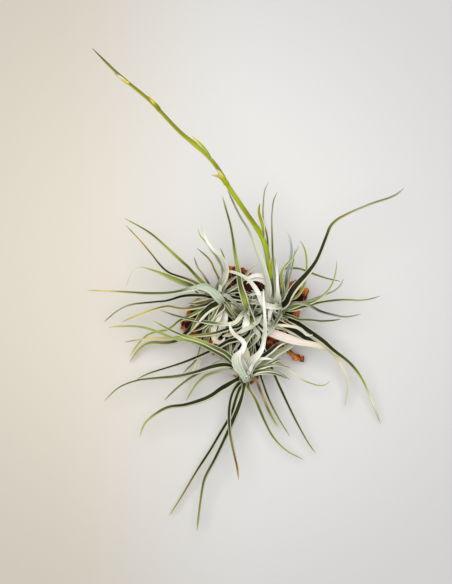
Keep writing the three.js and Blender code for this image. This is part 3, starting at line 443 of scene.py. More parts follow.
# Smaller leaves and papery sheaths. Each has a name, its rosette, or heart if it isn't led in to a
# stem, its widths in millimetres, its channel and back, and points (x, y, z) from its base, in
# millimetres as the eye above sees them.
SMALL_BLADES = [
    ("left_thread_01", "left", (6, 6.4, 6, 3.4, 1.9, 1.5, 1),
     "mint green lime lime cream cream", "silver mint lime cream cream cream", (
        (-34, 30, 46), (-44, 33, 50), (-57, 37, 54), (-70, 42.5, 57), (-80, 47, 57),
        (-90, 50.5, 55), (-98, 52.5, 52), (-104, 51, 48), (-109, 46, 43), (-112, 39, 37),
        (-113.5, 34, 32))),
    ("left_young_01", "left", (4.5, 3.5, 2), "silver grey green", "silver silver grey", (
        (-15, 25, 50), (-9, 21, 53), (-3, 15.5, 52), (2.5, 11, 49))),
    ("left_young_02", "left", (4, 3.2, 1.5), "green olive olive", "silver grey olive", (
        (-17, 19, 44), (-13.5, 15.5, 47), (-9.5, 9.5, 47), (-4, 0.5, 44))),
    ("left_young_03", "left", (3.5, 2.6, 2, 1.2),
     "brown brown tan brown", "tan brown brown brown", (
        (-26, 29, 45), (-31, 36, 50), (-34, 41, 53), (-38, 47, 56), (-42, 52, 58), (-44, 57, 59),
        (-46, 63, 60))),
    ("left_young_04", "left", (3.5, 3, 2, 1.2), "olive tan tan brown", "grey tan tan tan", (
        (-19, 33, 48), (-17, 43, 53), (-17.5, 52, 56), (-20.5, 57, 58), (-23.5, 62, 59),
        (-27, 67, 60))),
    ("left_young_05", "left", (3.5, 3, 2, 1.2),
     "green grey grey olive", "silver silver grey grey", (
        (-17, 32, 46), (-14, 44, 50), (-14, 54, 53), (-15.5, 61, 54), (-17.5, 67, 55),
        (-20, 72, 56))),
    ("left_young_06", "left", (4, 3, 2, 1.4),
     "silver grey lime yellow", "silver silver lime yellow", (
        (-19, 36, 60), (-17, 48, 68), (-21, 60, 75), (-28, 69, 80), (-34, 78, 83), (-40, 84.5, 85),
        (-42, 91, 86))),
    ("left_young_07", "left", (9, 9, 8, 5.5, 1.5),
     "green dark dark olive lime", "mint silver silver silver lime", (
        (-22, 18, 44), (-30, 12, 50), (-38, 5, 52), (-44, -3, 50), (-50, -12, 44))),
    ("left_young_08", "left", (6.5, 6.5, 6, 4.5, 1.5),
     "green brown dark olive olive", "silver silver grey tan olive", (
        (-17, 13, 41), (-22, 8, 46), (-28, 1, 47), (-33, -6, 45), (-37, -14, 41))),
    ("left_hanging_01", "left", (4, 3, 2, 1),
     "green olive cream cream", "silver grey cream cream", (
        (-25, 8, 34), (-31, -8, 36), (-37, -24, 35), (-43, -42, 31), (-49, -54, 26),
        (-52.3, -60, 23), (-53.2, -78, 16))),
    ("left_hanging_02", "left", (4, 3, 2, 1), "green lime cream cream", "silver lime cream cream", (
        (-23, 7, 31), (-28, -8, 33), (-34, -25, 32), (-41, -44, 28), (-46, -56, 22), (-48, -62, 19),
        (-45.3, -78, 13))),
    ("right_young_01", "right", (4, 3, 2), "silver grey grey", "silver silver silver", (
        (36, 22, 62), (36.5, 38, 70), (36, 50, 76), (34, 65, 81))),
    ("right_young_02", "right", (3.5, 2.6, 2, 1.2),
     "green grey grey grey", "silver grey grey silver", (
        (42, 20, 60), (47, 33, 67), (49.5, 42, 72), (52, 52, 77), (53.5, 60, 80), (55, 71, 83))),
    ("right_young_03", "right", (4, 3, 2, 1.2), "green grey grey grey", "silver grey grey silver", (
        (48, 13, 50), (56, 16, 54), (65, 18, 57), (78, 22.5, 60), (88, 26.5, 62), (95, 29.5, 63),
        (99, 33, 64), (102, 37, 65), (103.5, 41, 66))),
    ("right_fold_01", "right", (5, 6, 6, 6, 5),
     "silver grey silver pink silver", "silver silver white white silver", (
        (42, 14, 72), (38, 13, 78), (31, 13.5, 80), (25, 15, 79), (21.5, 19, 78), (18, 25, 77))),
    ("left_hood_01", "heart", (5, 9, 9.5, 8, 6.5, 4),
     "mint mint mint mint mint", "mint silver mint mint mint", (
        (-17, 17, 54), (-20, 20.5, 62), (-24.5, 25.5, 66), (-30, 30, 68), (-37, 32.5, 68),
        (-45, 32.5, 68))),
    ("lower_hood_01", "heart", (4, 7, 8, 11, 11, 7),
     "mint mint mint silver white", "mint mint mint silver white", (
        (7, -62.5, 54), (5, -58.5, 62), (1.5, -52, 66), (-3, -44.5, 68), (-3.5, -37, 70),
        (0.5, -30.5, 74))),
    ("centre_point_01", "heart", (7, 8, 6, 3, 0.6),
     "silver olive dark olive silver", "silver silver white silver", (
        (13, -6, 48), (12, 1, 57), (10.5, 7, 63), (9.5, 12, 67), (9, 15, 69))),
    ("right_young_04", "right", (5, 4, 3, 1.4),
     "grey green silver silver", "silver silver silver white", (
        (41, 8, 62), (37, 0, 62), (33, -8, 59), (27, -15, 54), (22, -21, 48))),
    ("right_young_05", "right", (4.5, 4, 3, 1.5),
     "silver white silver silver", "white white silver white", (
        (31, 22, 52), (26, 26.5, 55), (20, 27, 55), (12, 25.5, 53), (6.5, 24.5, 51))),
    ("right_young_06", "right", (4, 3, 1.5), "silver grey silver", "white silver white", (
        (28, 12, 48), (20, 17.5, 52), (16.5, 19.5, 53), (10, 20.5, 51))),
    ("right_arc_01", "right", (6, 6, 5.5, 4.5, 2.5),
     "white white silver white white", "white white white white white", (
        (34, 22, 44), (34, 30, 49), (32, 35, 52), (27, 42, 54), (19, 45, 54), (10, 43, 52),
        (3, 39, 49))),
    ("right_arc_02", "right", (5.5, 5.5, 4.5, 2),
     "white silver white white", "white white white white", (
        (33, 21, 40), (33, 27, 44), (30, 32, 47), (23, 39, 49), (14, 41, 49), (6, 36, 46))),
    ("right_young_07", "right", (5, 4, 2), "silver white silver", "silver white white", (
        (33, 13, 66), (30.5, 9, 66), (29.5, 3, 63), (28.5, -3, 58))),
    ("right_under_01", "right", (6, 8.5, 9, 8, 6, 1.5),
     "dark deep deep dark green", "silver silver grey grey green", (
        (34, 3, 42), (43, -5, 45), (55, -11.5, 46), (68, -19.5, 46), (80, -26.5, 44),
        (88, -31.5, 41))),
    ("dry_strip", "centre", (2.6, 2.4, 2.2, 2, 1),
     "grey silver grey cream", "silver cream silver white", (
        (28, -3, 50), (36, -7.5, 55), (45, -9.5, 57), (51, -12.5, 56), (57, -15, 54))),
    ("dry_hook", "centre", (3, 2.8, 3.2, 3.2, 2.2),
     "silver grey cream silver cream", "silver cream silver cream white", (
        (27, -6, 51), (35, -5, 57), (44, -5.5, 60), (49, -6, 61), (55, -7, 61), (61, -9, 60),
        (64.5, -13, 58), (67.5, -15.7, 57), (73, -14.7, 56))),
    ("centre_young_01", "centre", (5, 4.5, 3, 2),
     "mint silver green grey", "silver silver silver white", (
        (14, -8, 42), (19, -16, 44), (13, -23, 45), (6, -30, 43), (0, -37, 39))),
    ("centre_young_02", "centre", (4.5, 4, 2), "green grey silver", "silver silver silver", (
        (6, -8, 38), (1, -18, 40), (-3, -26, 39), (-8, -33, 36))),
    ("centre_young_03", "centre", (4.5, 4, 2), "grey silver mint", "silver white silver", (
        (13, 2, 52), (16, -4, 54), (19, 0, 58), (22, 6, 61))),
    ("centre_young_04", "centre", (4.5, 4, 2), "green dark green", "silver grey silver", (
        (10, -7, 34), (11.5, -18, 37), (12.5, -28, 37), (13, -35, 35))),
    ("centre_young_05", "centre", (4, 3.5, 2), "green dark green", "silver silver silver", (
        (14, -6, 36), (16, -14, 39), (18, -21, 38), (19, -26, 36))),
    ("lower_young_01", "lower", (4, 3.5, 2), "white silver white", "white white white", (
        (9, -52, 52), (13, -44, 57), (20, -38.7, 59), (27, -38.5, 59), (32.7, -39.3, 57))),
    ("papery_sheath_01", "left", (5, 5, 4, 2),
     "cream cream white cream", "cream cream pink cream", (
        (-18, 4, 33), (-19, -6, 37), (-22, -14, 39), (-26, -22, 37), (-28, -26, 35))),
    ("papery_sheath_02", "left", (4, 5, 4, 2), "cream white cream cream", "cream cream cream tan", (
        (-14, 6, 32), (-15, -3, 36), (-17, -9, 38), (-20, -14, 37), (-23, -18, 35))),
    ("papery_curl_01", "left", (4, 5, 6, 6, 5, 3),
     "cream white cream cream white", "white cream white cream tan", (
        (-19, 6, 40), (-21, 2, 43), (-25, -6, 45), (-27, -14, 45), (-24.5, -21, 43),
        (-18.5, -22.5, 40), (-15, -17, 37))),
    ("papery_sheath_03", "centre", (7, 7, 5, 3), "cream cream tan cream", "white cream cream tan", (
        (2, -4, 34), (-5, -11, 39), (-11, -15, 41), (-18, -16, 40))),
    ("papery_sheath_04", "lower", (8, 8, 6, 4),
     "cream white cream cream", "cream white cream tan", (
        (6, -48, 42), (7, -38, 46), (6, -30, 47), (4, -24, 45))),
    ("papery_sheath_05", "centre", (7, 8, 6, 3),
     "olive dark green silver", "silver grey silver silver", (
        (6, 6, 38), (0, 6, 43), (-5, 10, 45), (-9, 16, 43))),
    ("papery_sheath_06", "centre", (8, 9, 7, 4),
     "white silver white white", "white white silver white", (
        (8, 4, 50), (7, -1, 53), (5, -6, 52), (3, -10, 49))),
]


def unit(rows):
    """Each row scaled to length one."""
    return rows / np.linalg.norm(rows, axis=-1, keepdims=True)


def smooth(low, high, value):
    """A soft step from zero at low to one at high."""
    share = np.clip((value - low) / (high - low), 0, 1)
    return share * share * (3 - 2 * share)


def even_marks(points):
    """How far along a line of points each one is, from zero to one, and the line's length."""
    steps = np.linalg.norm(np.diff(points, axis=0), axis=1)
    marks = np.concatenate([[0], np.cumsum(steps)])
    return marks / marks[-1], marks[-1]


def span_at(marks, shares):
    """The mark before each share of the way, and how far it is from there to the next one."""
    step = np.clip(np.searchsorted(marks, shares, side="right") - 1, 0, len(marks) - 2)
    span = marks[step + 1] - marks[step]
    return step, span, (shares - marks[step]) / span


def curve_through(marks, values, shares):
    """Smooth values at the given shares of the way, through the values at the marks."""
    values = np.asarray(values, float)
    slopes = np.gradient(values, marks, axis=0)
    step, span, t = span_at(marks, shares)
    if values.ndim > 1:
        span, t = span[:, None], t[:, None]
    before, after = values[step], values[step + 1]
    rise = slopes[step] * span
    fall = slopes[step + 1] * span
    return (before * (1 + 2 * t) * (1 - t) ** 2 + rise * t * (1 - t) ** 2
            + after * t * t * (3 - 2 * t) + fall * t * t * (t - 1))


def way_along(marks, line, shares):
    """The direction of a line at the given shares of the way."""
    return unit(curve_through(marks, line, np.clip(shares + STEP_ASIDE, 0, 1))
                - curve_through(marks, line, np.clip(shares - STEP_ASIDE, 0, 1)))


def level_sides(line):
    """Level directions from side to side of a line."""
    return unit(np.cross((0, 0, 1), np.gradient(line, axis=0)))


def spread(values, shares):
    """Values laid out evenly from base to tip, read at the given shares of the way."""
    values = np.asarray(values, float)
    return curve_through(np.linspace(0, 1, len(values)), values, shares)


def true_point(point):
    """A point as the eye above sees it, in millimetres, as a true place in metres."""
    x, y, height = (part * MM for part in point)
    scale = (EYE[2] - height) / (EYE[2] - TRUE_HEIGHT)
    return (EYE[0] + (x - EYE[0]) * scale, EYE[1] + (y - EYE[1]) * scale, height)


def stem_axis(rosette):
    """The middle of the top of a rosette's stem."""
    low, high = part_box(f"{rosette}_stem")
    return np.array([(low.x + high.x) / 2, (low.y + high.y) / 2, high.z])


def node_rings(node):
    """The rings of points of a CAD blade or stalk from base to tip, and its tip."""
    mesh = NODES[node].data
    corners = read_places(mesh)
    places, index = np.unique(np.round(corners, 7), axis=0, return_inverse=True)
    index = index.ravel()
    near = [set() for _ in places]
    for face in mesh.polygons:
        points = [int(index[vertex]) for vertex in face.vertices]
        for point in points:
            near[point].update(points)

    def levels(start):
        found, seen = [{start}], {start}
        while True:
            ring = set().union(*(near[point] for point in found[-1])) - seen
            if not ring:
                return found
            seen |= ring
            found.append(ring)

    ends = [min(levels(0)[-1])]
    ends.append(min(levels(ends[0])[-1]))

    def reach(end):
        ring = places[sorted(near[end] - {end})]
        return np.linalg.norm(ring.mean(axis=0) - places[end])

    tip = max(ends, key=reach)
    rings = [places[sorted(ring)] for ring in levels(tip)[1:-1]]
    return rings[::-1], places[tip]


def blade_line(node):
    """A CAD blade's line of channel points, its side to side directions and its widths."""
    rings, tip = node_rings(node)
    line, middles, sides, widths = [], [], [], []
    for ring in rings:
        gaps = np.linalg.norm(ring[:, None] - ring[None], axis=2)
        first, second = np.unravel_index(gaps.argmax(), gaps.shape)
        width = gaps[first, second]
        side = (ring[second] - ring[first]) / width
        middle = (ring[first] + ring[second]) / 2
        others = np.delete(ring, [first, second], axis=0)
        rise = middle - others.mean(axis=0)
        rise /= np.linalg.norm(rise)
        line.append(middle - rise * width * CHANNEL_DEPTH)
        middles.append(middle)
        sides.append(side)
        widths.append(width)
    for step in range(1, len(sides)):
        if np.dot(sides[step], sides[step - 1]) < 0:
            sides[step] = -sides[step]
    along = np.gradient(np.array(line + [tip]), axis=0)[:-1]
    handed = sum(np.dot(np.cross(way, side), middle - ring.mean(axis=0))
                 for way, side, middle, ring in zip(along, sides, middles, rings))
    turned = [side * np.sign(handed) for side in sides]
    line.append(tip)
    turned.append(turned[-1])
    widths.append(widths[-1] * TIP_WIDTH)
    return np.array(line), np.array(turned), np.array(widths)


def clasp(line, sides, widths, axis):
    """Leads a blade's line in to its stem, so that its base comes from the stem's middle."""
    inward = axis[:2] - line[0][:2]
    gap = np.linalg.norm(inward)
    inward = np.array([*(inward / gap), 0])
    hidden = [line[0] + inward * gap * share - (0, 0, drop) for share, drop in CLASP]
    line = np.vstack([*hidden, line])
    sides = np.vstack([sides[0], sides[0], sides])
    widths = np.concatenate([[widths[0], widths[0]], widths])
    return line, sides, widths


def leave_all():
    """Ends edit mode and selects nothing."""
    if bpy.context.object and bpy.context.object.mode != "OBJECT":
        bpy.ops.object.mode_set(mode="OBJECT")
    bpy.ops.object.select_all(action="DESELECT")


def pick(pieces):
    """Selects these pieces only, with the first one active."""
    leave_all()
    for piece in pieces:
        piece.select_set(True)
    bpy.context.view_layer.objects.active = pieces[0]


def read_places(mesh):
    places = np.empty(len(mesh.vertices) * 3)
    mesh.vertices.foreach_get("co", places)
    return places.reshape(-1, 3)


def write_places(mesh, places):
    mesh.vertices.foreach_set("co", np.ascontiguousarray(places, float).ravel())
    mesh.update()


def write_hues(mesh, looks, shares):
    """The colours of a piece's channel and back, as attributes that its skin reads."""
    for name, words in zip(("channel", "back"), looks):
        layer = mesh.attributes.new(name, "FLOAT_COLOR", "POINT")
        values = np.ascontiguousarray(look_values(words, shares), float)
        layer.data.foreach_set("color", values.ravel())


def write_shares(mesh, name, values):
    layer = mesh.attributes.new(name, "FLOAT", "POINT")
    layer.data.foreach_set("value", np.ascontiguousarray(values, float))


def apply_all(piece):
    bpy.context.view_layer.objects.active = piece
    for modifier in list(piece.modifiers):
        bpy.ops.object.modifier_apply(modifier=modifier.name)


def round_off(piece, levels):
    rounding = piece.modifiers.new("Rounding", "SUBSURF")
    rounding.levels = rounding.render_levels = levels
    apply_all(piece)


def close_mesh(holes):
    """Merges doubled points of the active piece and turns its faces outward."""
    bpy.ops.object.mode_set(mode="EDIT")
    bpy.ops.mesh.select_all(action="SELECT")
    bpy.ops.mesh.remove_doubles(threshold=SAME_POINT)
    if holes:
        bpy.ops.mesh.fill_holes(sides=0)
    bpy.ops.mesh.normals_make_consistent(inside=False)
    bpy.ops.object.mode_set(mode="OBJECT")


def join_all(pieces, name):
    """Joins pieces into the first one, under a new name."""
    pick(pieces)
    bpy.ops.object.join()
    pieces[0].name = pieces[0].data.name = name
    return pieces[0]


def settle(piece, material, node=None):
    """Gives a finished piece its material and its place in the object."""
    piece.data.materials.clear()
    piece.data.materials.append(material)
    for face in piece.data.polygons:
        face.material_index = 0
    pick([piece])
    bpy.ops.object.shade_smooth()
    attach(piece, BODY)
    if node:
        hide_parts(node)
    piece.select_set(False)


def look_values(words, shares):
    """The colours named from base to tip, read at the given shares of the way."""
    hues = bpy.context.scene.air_plant_hues
    values = np.array([tuple(getattr(hues, word)) for word in words.split()])
    step, _, t = span_at(np.linspace(0, 1, len(values)), shares)
    t = smooth(0, 1, t)[:, None]
    return values[step] * (1 - t) + values[step + 1] * t


def add_grid(name, columns, rows):
    """A new grid, and how far across and how far along it each of its points is."""
    leave_all()
    bpy.ops.mesh.primitive_grid_add(x_subdivisions=columns, y_subdivisions=rows, size=2)
    piece = bpy.context.object
    piece.name = piece.data.name = name
    flat = read_places(piece.data)
    return piece, flat[:, 0], np.clip((flat[:, 1] + 1) / 2, 0, 1)


def shape_blade(name, line, sides, widths, looks, sheath=None):
    """A leaf blade: a channel curled up along its line, with flesh under it and a sharp tip."""
    settings = bpy.context.scene.air_plant_leaves
    marks, length = even_marks(line)
    rows = max(LEAST_ROWS, round(length / settings.row_step))
    piece, across, share = add_grid(name, settings.columns, rows)
    mesh = piece.data
    chance = random.Random(name)

    widths = widths * settings.slimming
    width = curve_through(marks, widths, share)
    curl = np.full(len(share), settings.curl)
    if sheath:
        base, reach = sheath
        open_part = smooth(0, reach, share * length)
        width = base + (width - base) * open_part
        curl = settings.base_curl + (settings.curl - settings.base_curl) * open_part
    phase, waves = chance.uniform(0, ROUND), chance.uniform(2.5, 5)
    width = width * (1 + WIDTH_WAVE * np.sin(phase + share * waves * ROUND))
    width = np.maximum(width, LEAST_WIDTH)

    centre = curve_through(marks, line, share)
    along = way_along(marks, line, share)
    side = curve_through(marks, sides, share)
    side = unit(side - along * np.sum(side * along, axis=1, keepdims=True))
    rise = np.cross(along, side)
    curl = curl * (1 + CURL_WAVE * np.sin(2 * phase + share * 9))
    radius = width / (2 * np.sin(np.minimum(curl, math.pi / 2)))
    turn = across * curl
    out = (radius * np.sin(turn))[:, None]
    lift = (radius * (1 - np.cos(turn)))[:, None]
    write_places(mesh, centre - side * out + rise * lift)

    write_hues(mesh, looks, share)
    # Painted light: the pale margin shifts to the side of the blade that faces one fixed direction
    # in the view
    lean = PAINTED_LIGHT_SHIFT * (side @ PAINTED_LIGHT_SIDE) * smooth(0.05, 0.3, share)
    write_shares(mesh, "lean", lean + chance.uniform(-0.08, 0.08))
    flesh = np.minimum(settings.flesh, LEAST_FLESH + width * FLESH_SHARE) / settings.flesh
    flesh *= 1 - (1 - settings.edge_flesh) * np.abs(across) ** 1.5
    group = piece.vertex_groups.new(name="flesh")
    for vertex, weight in enumerate(flesh):
        group.add([vertex], float(weight), "REPLACE")
    piece.vertex_groups.new(name="shell")
    wall = piece.modifiers.new("Flesh", "SOLIDIFY")
    wall.thickness = settings.flesh
    wall.offset = -1
    wall.vertex_group = "flesh"
    wall.thickness_vertex_group = 0.03
    wall.shell_vertex_group = "shell"
    round_off(piece, 1)
    shell = piece.vertex_groups["shell"].index
    weights = [max([part.weight for part in vertex.groups if part.group == shell], default=0)
               for vertex in mesh.vertices]
    piece.vertex_groups.clear()
    write_shares(mesh, "underside", weights)
    return piece


def roll_tube(name, line, radii, rows, looks, columns=14):
    """A round tube along a line: a grid rolled up, its seam and both ends closed."""
    marks, _ = even_marks(line)
    piece, across, share = add_grid(name, columns, rows)
    turn = across * math.pi
    centre = curve_through(marks, line, share)
    along = way_along(marks, line, share)
    side = unit(np.cross(NEARLY_UP, along))
    rise = np.cross(along, side)
    radius = curve_through(marks, radii, share)
    write_places(piece.data, centre + side * (radius * np.cos(turn))[:, None]
                 + rise * (radius * np.sin(turn))[:, None])
    write_hues(piece.data, looks, share)
    # Painted light: lit_side rises towards one fixed side of the tube, where its skin paints a
    # highlight
    write_shares(piece.data, "lit_side", 0.5 + 0.5 * np.cos(turn))
    close_mesh(holes=True)
    return piece


def stalk_course():
    """The flower stalk's evened out line, its radii and its length."""
    rings, tip = node_rings("flower_stalk")
    line = np.array([ring.mean(axis=0) for ring in rings] + [tip])
    radii = [np.linalg.norm(ring - ring.mean(axis=0), axis=1).mean() for ring in rings]
    marks, length = even_marks(line)
    share = np.linspace(0, 1, round(length / STALK_STEP))
    dense = curve_through(marks, line, share)
    reach = round(STALK_EVENING / STALK_STEP)
    window = np.hanning(2 * reach + 3)[1:-1]
    before = 2 * dense[0] - dense[reach:0:-1]
    after = 2 * dense[-1] - dense[-2:-reach - 2:-1]
    padded = np.vstack([before, dense, after])
    evened = [np.convolve(axis, window / window.sum(), "valid") for axis in padded.T]
    return np.column_stack(evened), curve_through(marks, radii + [STALK_TIP], share), length


def grow_from_stalk(line, sides, widths):
    """Starts a bract's line inside the flower stalk, a little below where it comes out."""
    course, _, _ = stalk_course()
    nearest = np.linalg.norm(course - line[0], axis=1).argmin()
    line = np.vstack([course[nearest - BRACT_ROOT], line[1:]])
    return line, sides, np.concatenate([[widths[0] * 0.5], widths[1:]])


def lay_blade(node, axis=None):
    """The finished blade of one CAD leaf or bract."""
    line, sides, widths = blade_line(node)
    widths = widths * BLADE_WIDTHS.get(node, 1)
    sheath = None
    if axis is None:
        line, sides, widths = grow_from_stalk(line, sides, widths)
    else:
        settings = bpy.context.scene.air_plant_leaves
        usual = (widths.max() / MM * settings.sheath_width, settings.sheath_reach / MM)
        base, reach = BROAD_BASES.get(node, usual)
        sheath = max(base, LEAST_BASE) * MM, reach * MM
        line, sides, widths = clasp(line, sides, widths, axis)
    piece = shape_blade(f"{node}_blade", line, sides, widths, BLADE_LOOKS[node], sheath)
    settle(piece, leaf_material(SLOTS[node]), node)


def small_slot(name, channel):
    """The record slot of a small leaf, from its name and the colours of its channel."""
    words = channel.split()
    if "papery" in name or "dry" in name:
        return "leaf_dry"
    greens = sum(word in GREENS for word in words)
    return "leaf_green" if greens * 2 > len(words) else "leaf_silver"


def lay_small_blade(name, rosette, widths, channel, back, points):
    """A leaf too small for a CAD node, along points given as the eye above sees them."""
    slot = small_slot(name, channel)
    line = np.array([true_point(point) for point in points])
    marks, _ = even_marks(line)
    widths = spread([width * MM for width in widths], marks)
    widths[-1] *= SMALL_TIP
    sides = level_sides(line)
    if rosette in ROSETTES:
        axis = stem_axis(rosette)
        start = np.array([axis[0], axis[1], line[0][2] - SMALL_DROP])
        start = start + (line[0] - start) * 0.35
        if NEAR_STEM < np.linalg.norm(start - line[0]) < FAR_FROM_STEM:
            line = np.vstack([start, line])
            sides = np.vstack([sides[0], sides])
            widths = np.concatenate([[widths[0]], widths])
    piece = shape_blade(name, line, sides, widths, (channel, back))
    settle(piece, leaf_material(slot))


def new_material(name):
    """A material, and its nodes if it is a new one."""
    material = bpy.data.materials.get(name)
    if material:
        return material, None
    material = bpy.data.materials.new(name)
    material.use_nodes = True
    return material, Graph(material.node_tree)


class Graph:
    """Short ways to add nodes to a material and join them."""

    def __init__(self, tree):
        self.tree = tree
        self.shader = tree.nodes["Principled BSDF"]

    def add(self, kind, inputs=None, **settings):
        node = self.tree.nodes.new(kind)
        for name, value in settings.items():
            setattr(node, name, value)
        for name, value in (inputs or {}).items():
            self.put(node.inputs[name], value)
        return node

    def put(self, socket, value):
        if isinstance(value, bpy.types.NodeSocket):
            self.tree.links.new(value, socket)
        else:
            socket.default_value = value

    def place(self):
        return self.add("ShaderNodeTexCoord").outputs["Object"]

    def across_along(self):
        uv = self.add("ShaderNodeUVMap", uv_map="UVMap").outputs[0]
        return self.add("ShaderNodeSeparateXYZ", {0: uv}).outputs[:2]

    def attribute(self, name, output="Fac"):
        return self.add("ShaderNodeAttribute", attribute_name=name).outputs[output]

    def math(self, operation, first, second=0.0):
        return self.add("ShaderNodeMath", {0: first, 1: second}, operation=operation).outputs[0]

    def plus(self, first, second):
        return self.math("ADD", first, second)

    def minus(self, first, second):
        return self.math("SUBTRACT", first, second)

    def times(self, first, second):
        return self.math("MULTIPLY", first, second)

    def blend(self, factor, first, second, kind="MIX"):
        inputs = {0: factor, 6: first, 7: second}
        return self.add("ShaderNodeMix", inputs, data_type="RGBA", blend_type=kind).outputs[2]

    def tinted(self, colour, factor):
        """A colour made lighter or darker by a factor."""
        grey = self.add("ShaderNodeCombineColor", {0: factor, 1: factor, 2: factor}).outputs[0]
        return self.blend(1.0, colour, grey, "MULTIPLY")

    def ramp(self, value, low, high, start=0.0, end=1.0):
        """A soft step from start, where the value is low, to end, where it is high."""
        inputs = {"Value": value, "From Min": low, "From Max": high, "To Min": start, "To Max": end}
        return self.add("ShaderNodeMapRange", inputs, interpolation_type="SMOOTHSTEP").outputs[0]

    def noise(self, vector, scale, detail=3.0, roughness=0.55):
        inputs = {"Vector": vector, "Scale": scale, "Detail": detail, "Roughness": roughness}
        return self.add("ShaderNodeTexNoise", inputs).outputs["Fac"]

    def streaks(self, across, along, wide, long, scale):
        """Streaks along a blade or a stalk."""
        inputs = {0: self.times(across, wide), 1: self.times(along, long)}
        return self.noise(self.add("ShaderNodeCombineXYZ", inputs).outputs[0], scale, 4.0, 0.6)

    def bump(self, height, strength, distance):
        inputs = {"Height": height, "Strength": strength, "Distance": distance}
        self.put(self.shader.inputs["Normal"], self.add("ShaderNodeBump", inputs).outputs[0])

    def finish(self, colour, roughness, specular):
        self.put(self.shader.inputs["Base Color"], colour)
        self.put(self.shader.inputs["Roughness"], roughness)
        self.put(self.shader.inputs["Specular IOR Level"], specular)


def leaf_material(slot):
    """Leaf skin: lengthwise veins and pale edges in the channel, silver scales on the back."""
    material, graph = new_material(f"{slot}_skin")
    if not graph:
        return material
    channel_rough, back_rough, veins, edges, straw, scurf, streaks = LEAF_FINISHES[slot]
    hues = bpy.context.scene.air_plant_hues
    across, along = graph.across_along()
    place = graph.place()
    channel = graph.attribute("channel", "Color")
    back = graph.attribute("back", "Color")
    underside = graph.attribute("underside")
    centred = graph.minus(graph.times(across, 2.0), 1.0)
    # The lean attribute shifts the pale edges to one side of each blade, as painted light
    off_middle = graph.math("ABSOLUTE", graph.plus(centred, graph.attribute("lean")))
    wave = graph.math("SINE", graph.times(across, VEIN_TURNS))
    streak = graph.streaks(across, along, 9.0, 3.0, 3.0)
    mottle = graph.noise(place, 180.0)
    scale = graph.noise(place, 1500.0, 2.0)

    # The channel: streaks and veins, a line of painted shade just inside each pale edge, and a few
    # scales. Noise lies about 0.5, and each ramp says between which of its values a mark fades in.
    shade = graph.times(graph.ramp(streak, 0.32, 0.68, 1 - streaks, 1 + streaks * 0.8),
                        graph.ramp(wave, -0.6, 0.8, 1 - veins * 0.22, 1 + veins))
    # Painted shade: the seam darkens the channel just inside each pale edge
    seam = graph.times(graph.ramp(off_middle, *PAINTED_EDGE_SHADE_START), graph.ramp(off_middle, *PAINTED_EDGE_SHADE_END))
    shade = graph.times(shade, graph.ramp(seam, 0.0, 1.0, 1.0, 1 - 0.5 * edges))
    lit = graph.tinted(channel, shade)
    pale = graph.blend(0.55, back, tuple(hues.white))
    pale = graph.blend(straw, pale, tuple(hues.straw))
    lit = graph.blend(graph.times(graph.ramp(off_middle, *PALE_EDGE), edges), lit, pale)
    lit = graph.blend(graph.times(graph.ramp(scale, 0.45, 0.62), scurf), lit, pale)

    # The back: a mottled coat of scales, with the green of the channel where it is thin
    coat = graph.tinted(back, graph.ramp(mottle, 0.3, 0.7, 0.86, 1.1))
    green = graph.blend(0.6, coat, channel)
    coat = graph.blend(graph.times(graph.ramp(scale, 0.52, 0.4), 0.35), coat, green)
    coat = graph.blend(graph.times(graph.ramp(streak, 0.62, 0.4), 0.25), coat, green)
    roughness = graph.add("ShaderNodeMix", {0: underside, 2: channel_rough, 3: back_rough},
                          data_type="FLOAT").outputs[0]
    graph.finish(graph.blend(underside, lit, coat), roughness, 0.08)
    ridges = graph.plus(graph.times(wave, 0.35), graph.times(streak, 0.6))
    graph.bump(graph.plus(ridges, graph.times(scale, 0.5)), 0.35, 0.25 * MM)
    return material


def stalk_material():
    """Smooth flower stalk: lime green with fine streaks, and a pale rim on its lit side as a
    painted highlight.
    """
    material, graph = new_material("stalk_skin")
    if not graph:
        return material
    across, along = graph.across_along()
    back = graph.attribute("back", "Color")
    streak = graph.streaks(across, along, 14.0, 8.0, 2.0)
    speck = graph.noise(graph.place(), 900.0, 2.0)
    # The pale rim is a painted highlight on the tube's lit side
    rim = graph.ramp(graph.plus(graph.attribute("lit_side"), graph.times(streak, 0.3)), 0.82, 1.08)
    colour = graph.blend(rim, graph.attribute("channel", "Color"), back)
    colour = graph.blend(graph.times(graph.ramp(speck, 0.55, 0.7), 0.3), colour, back)
    graph.finish(colour, graph.ramp(speck, 0.2, 0.8, 0.38, 0.5), 0.25)
    graph.bump(streak, 0.25, 0.3 * MM)
    return material


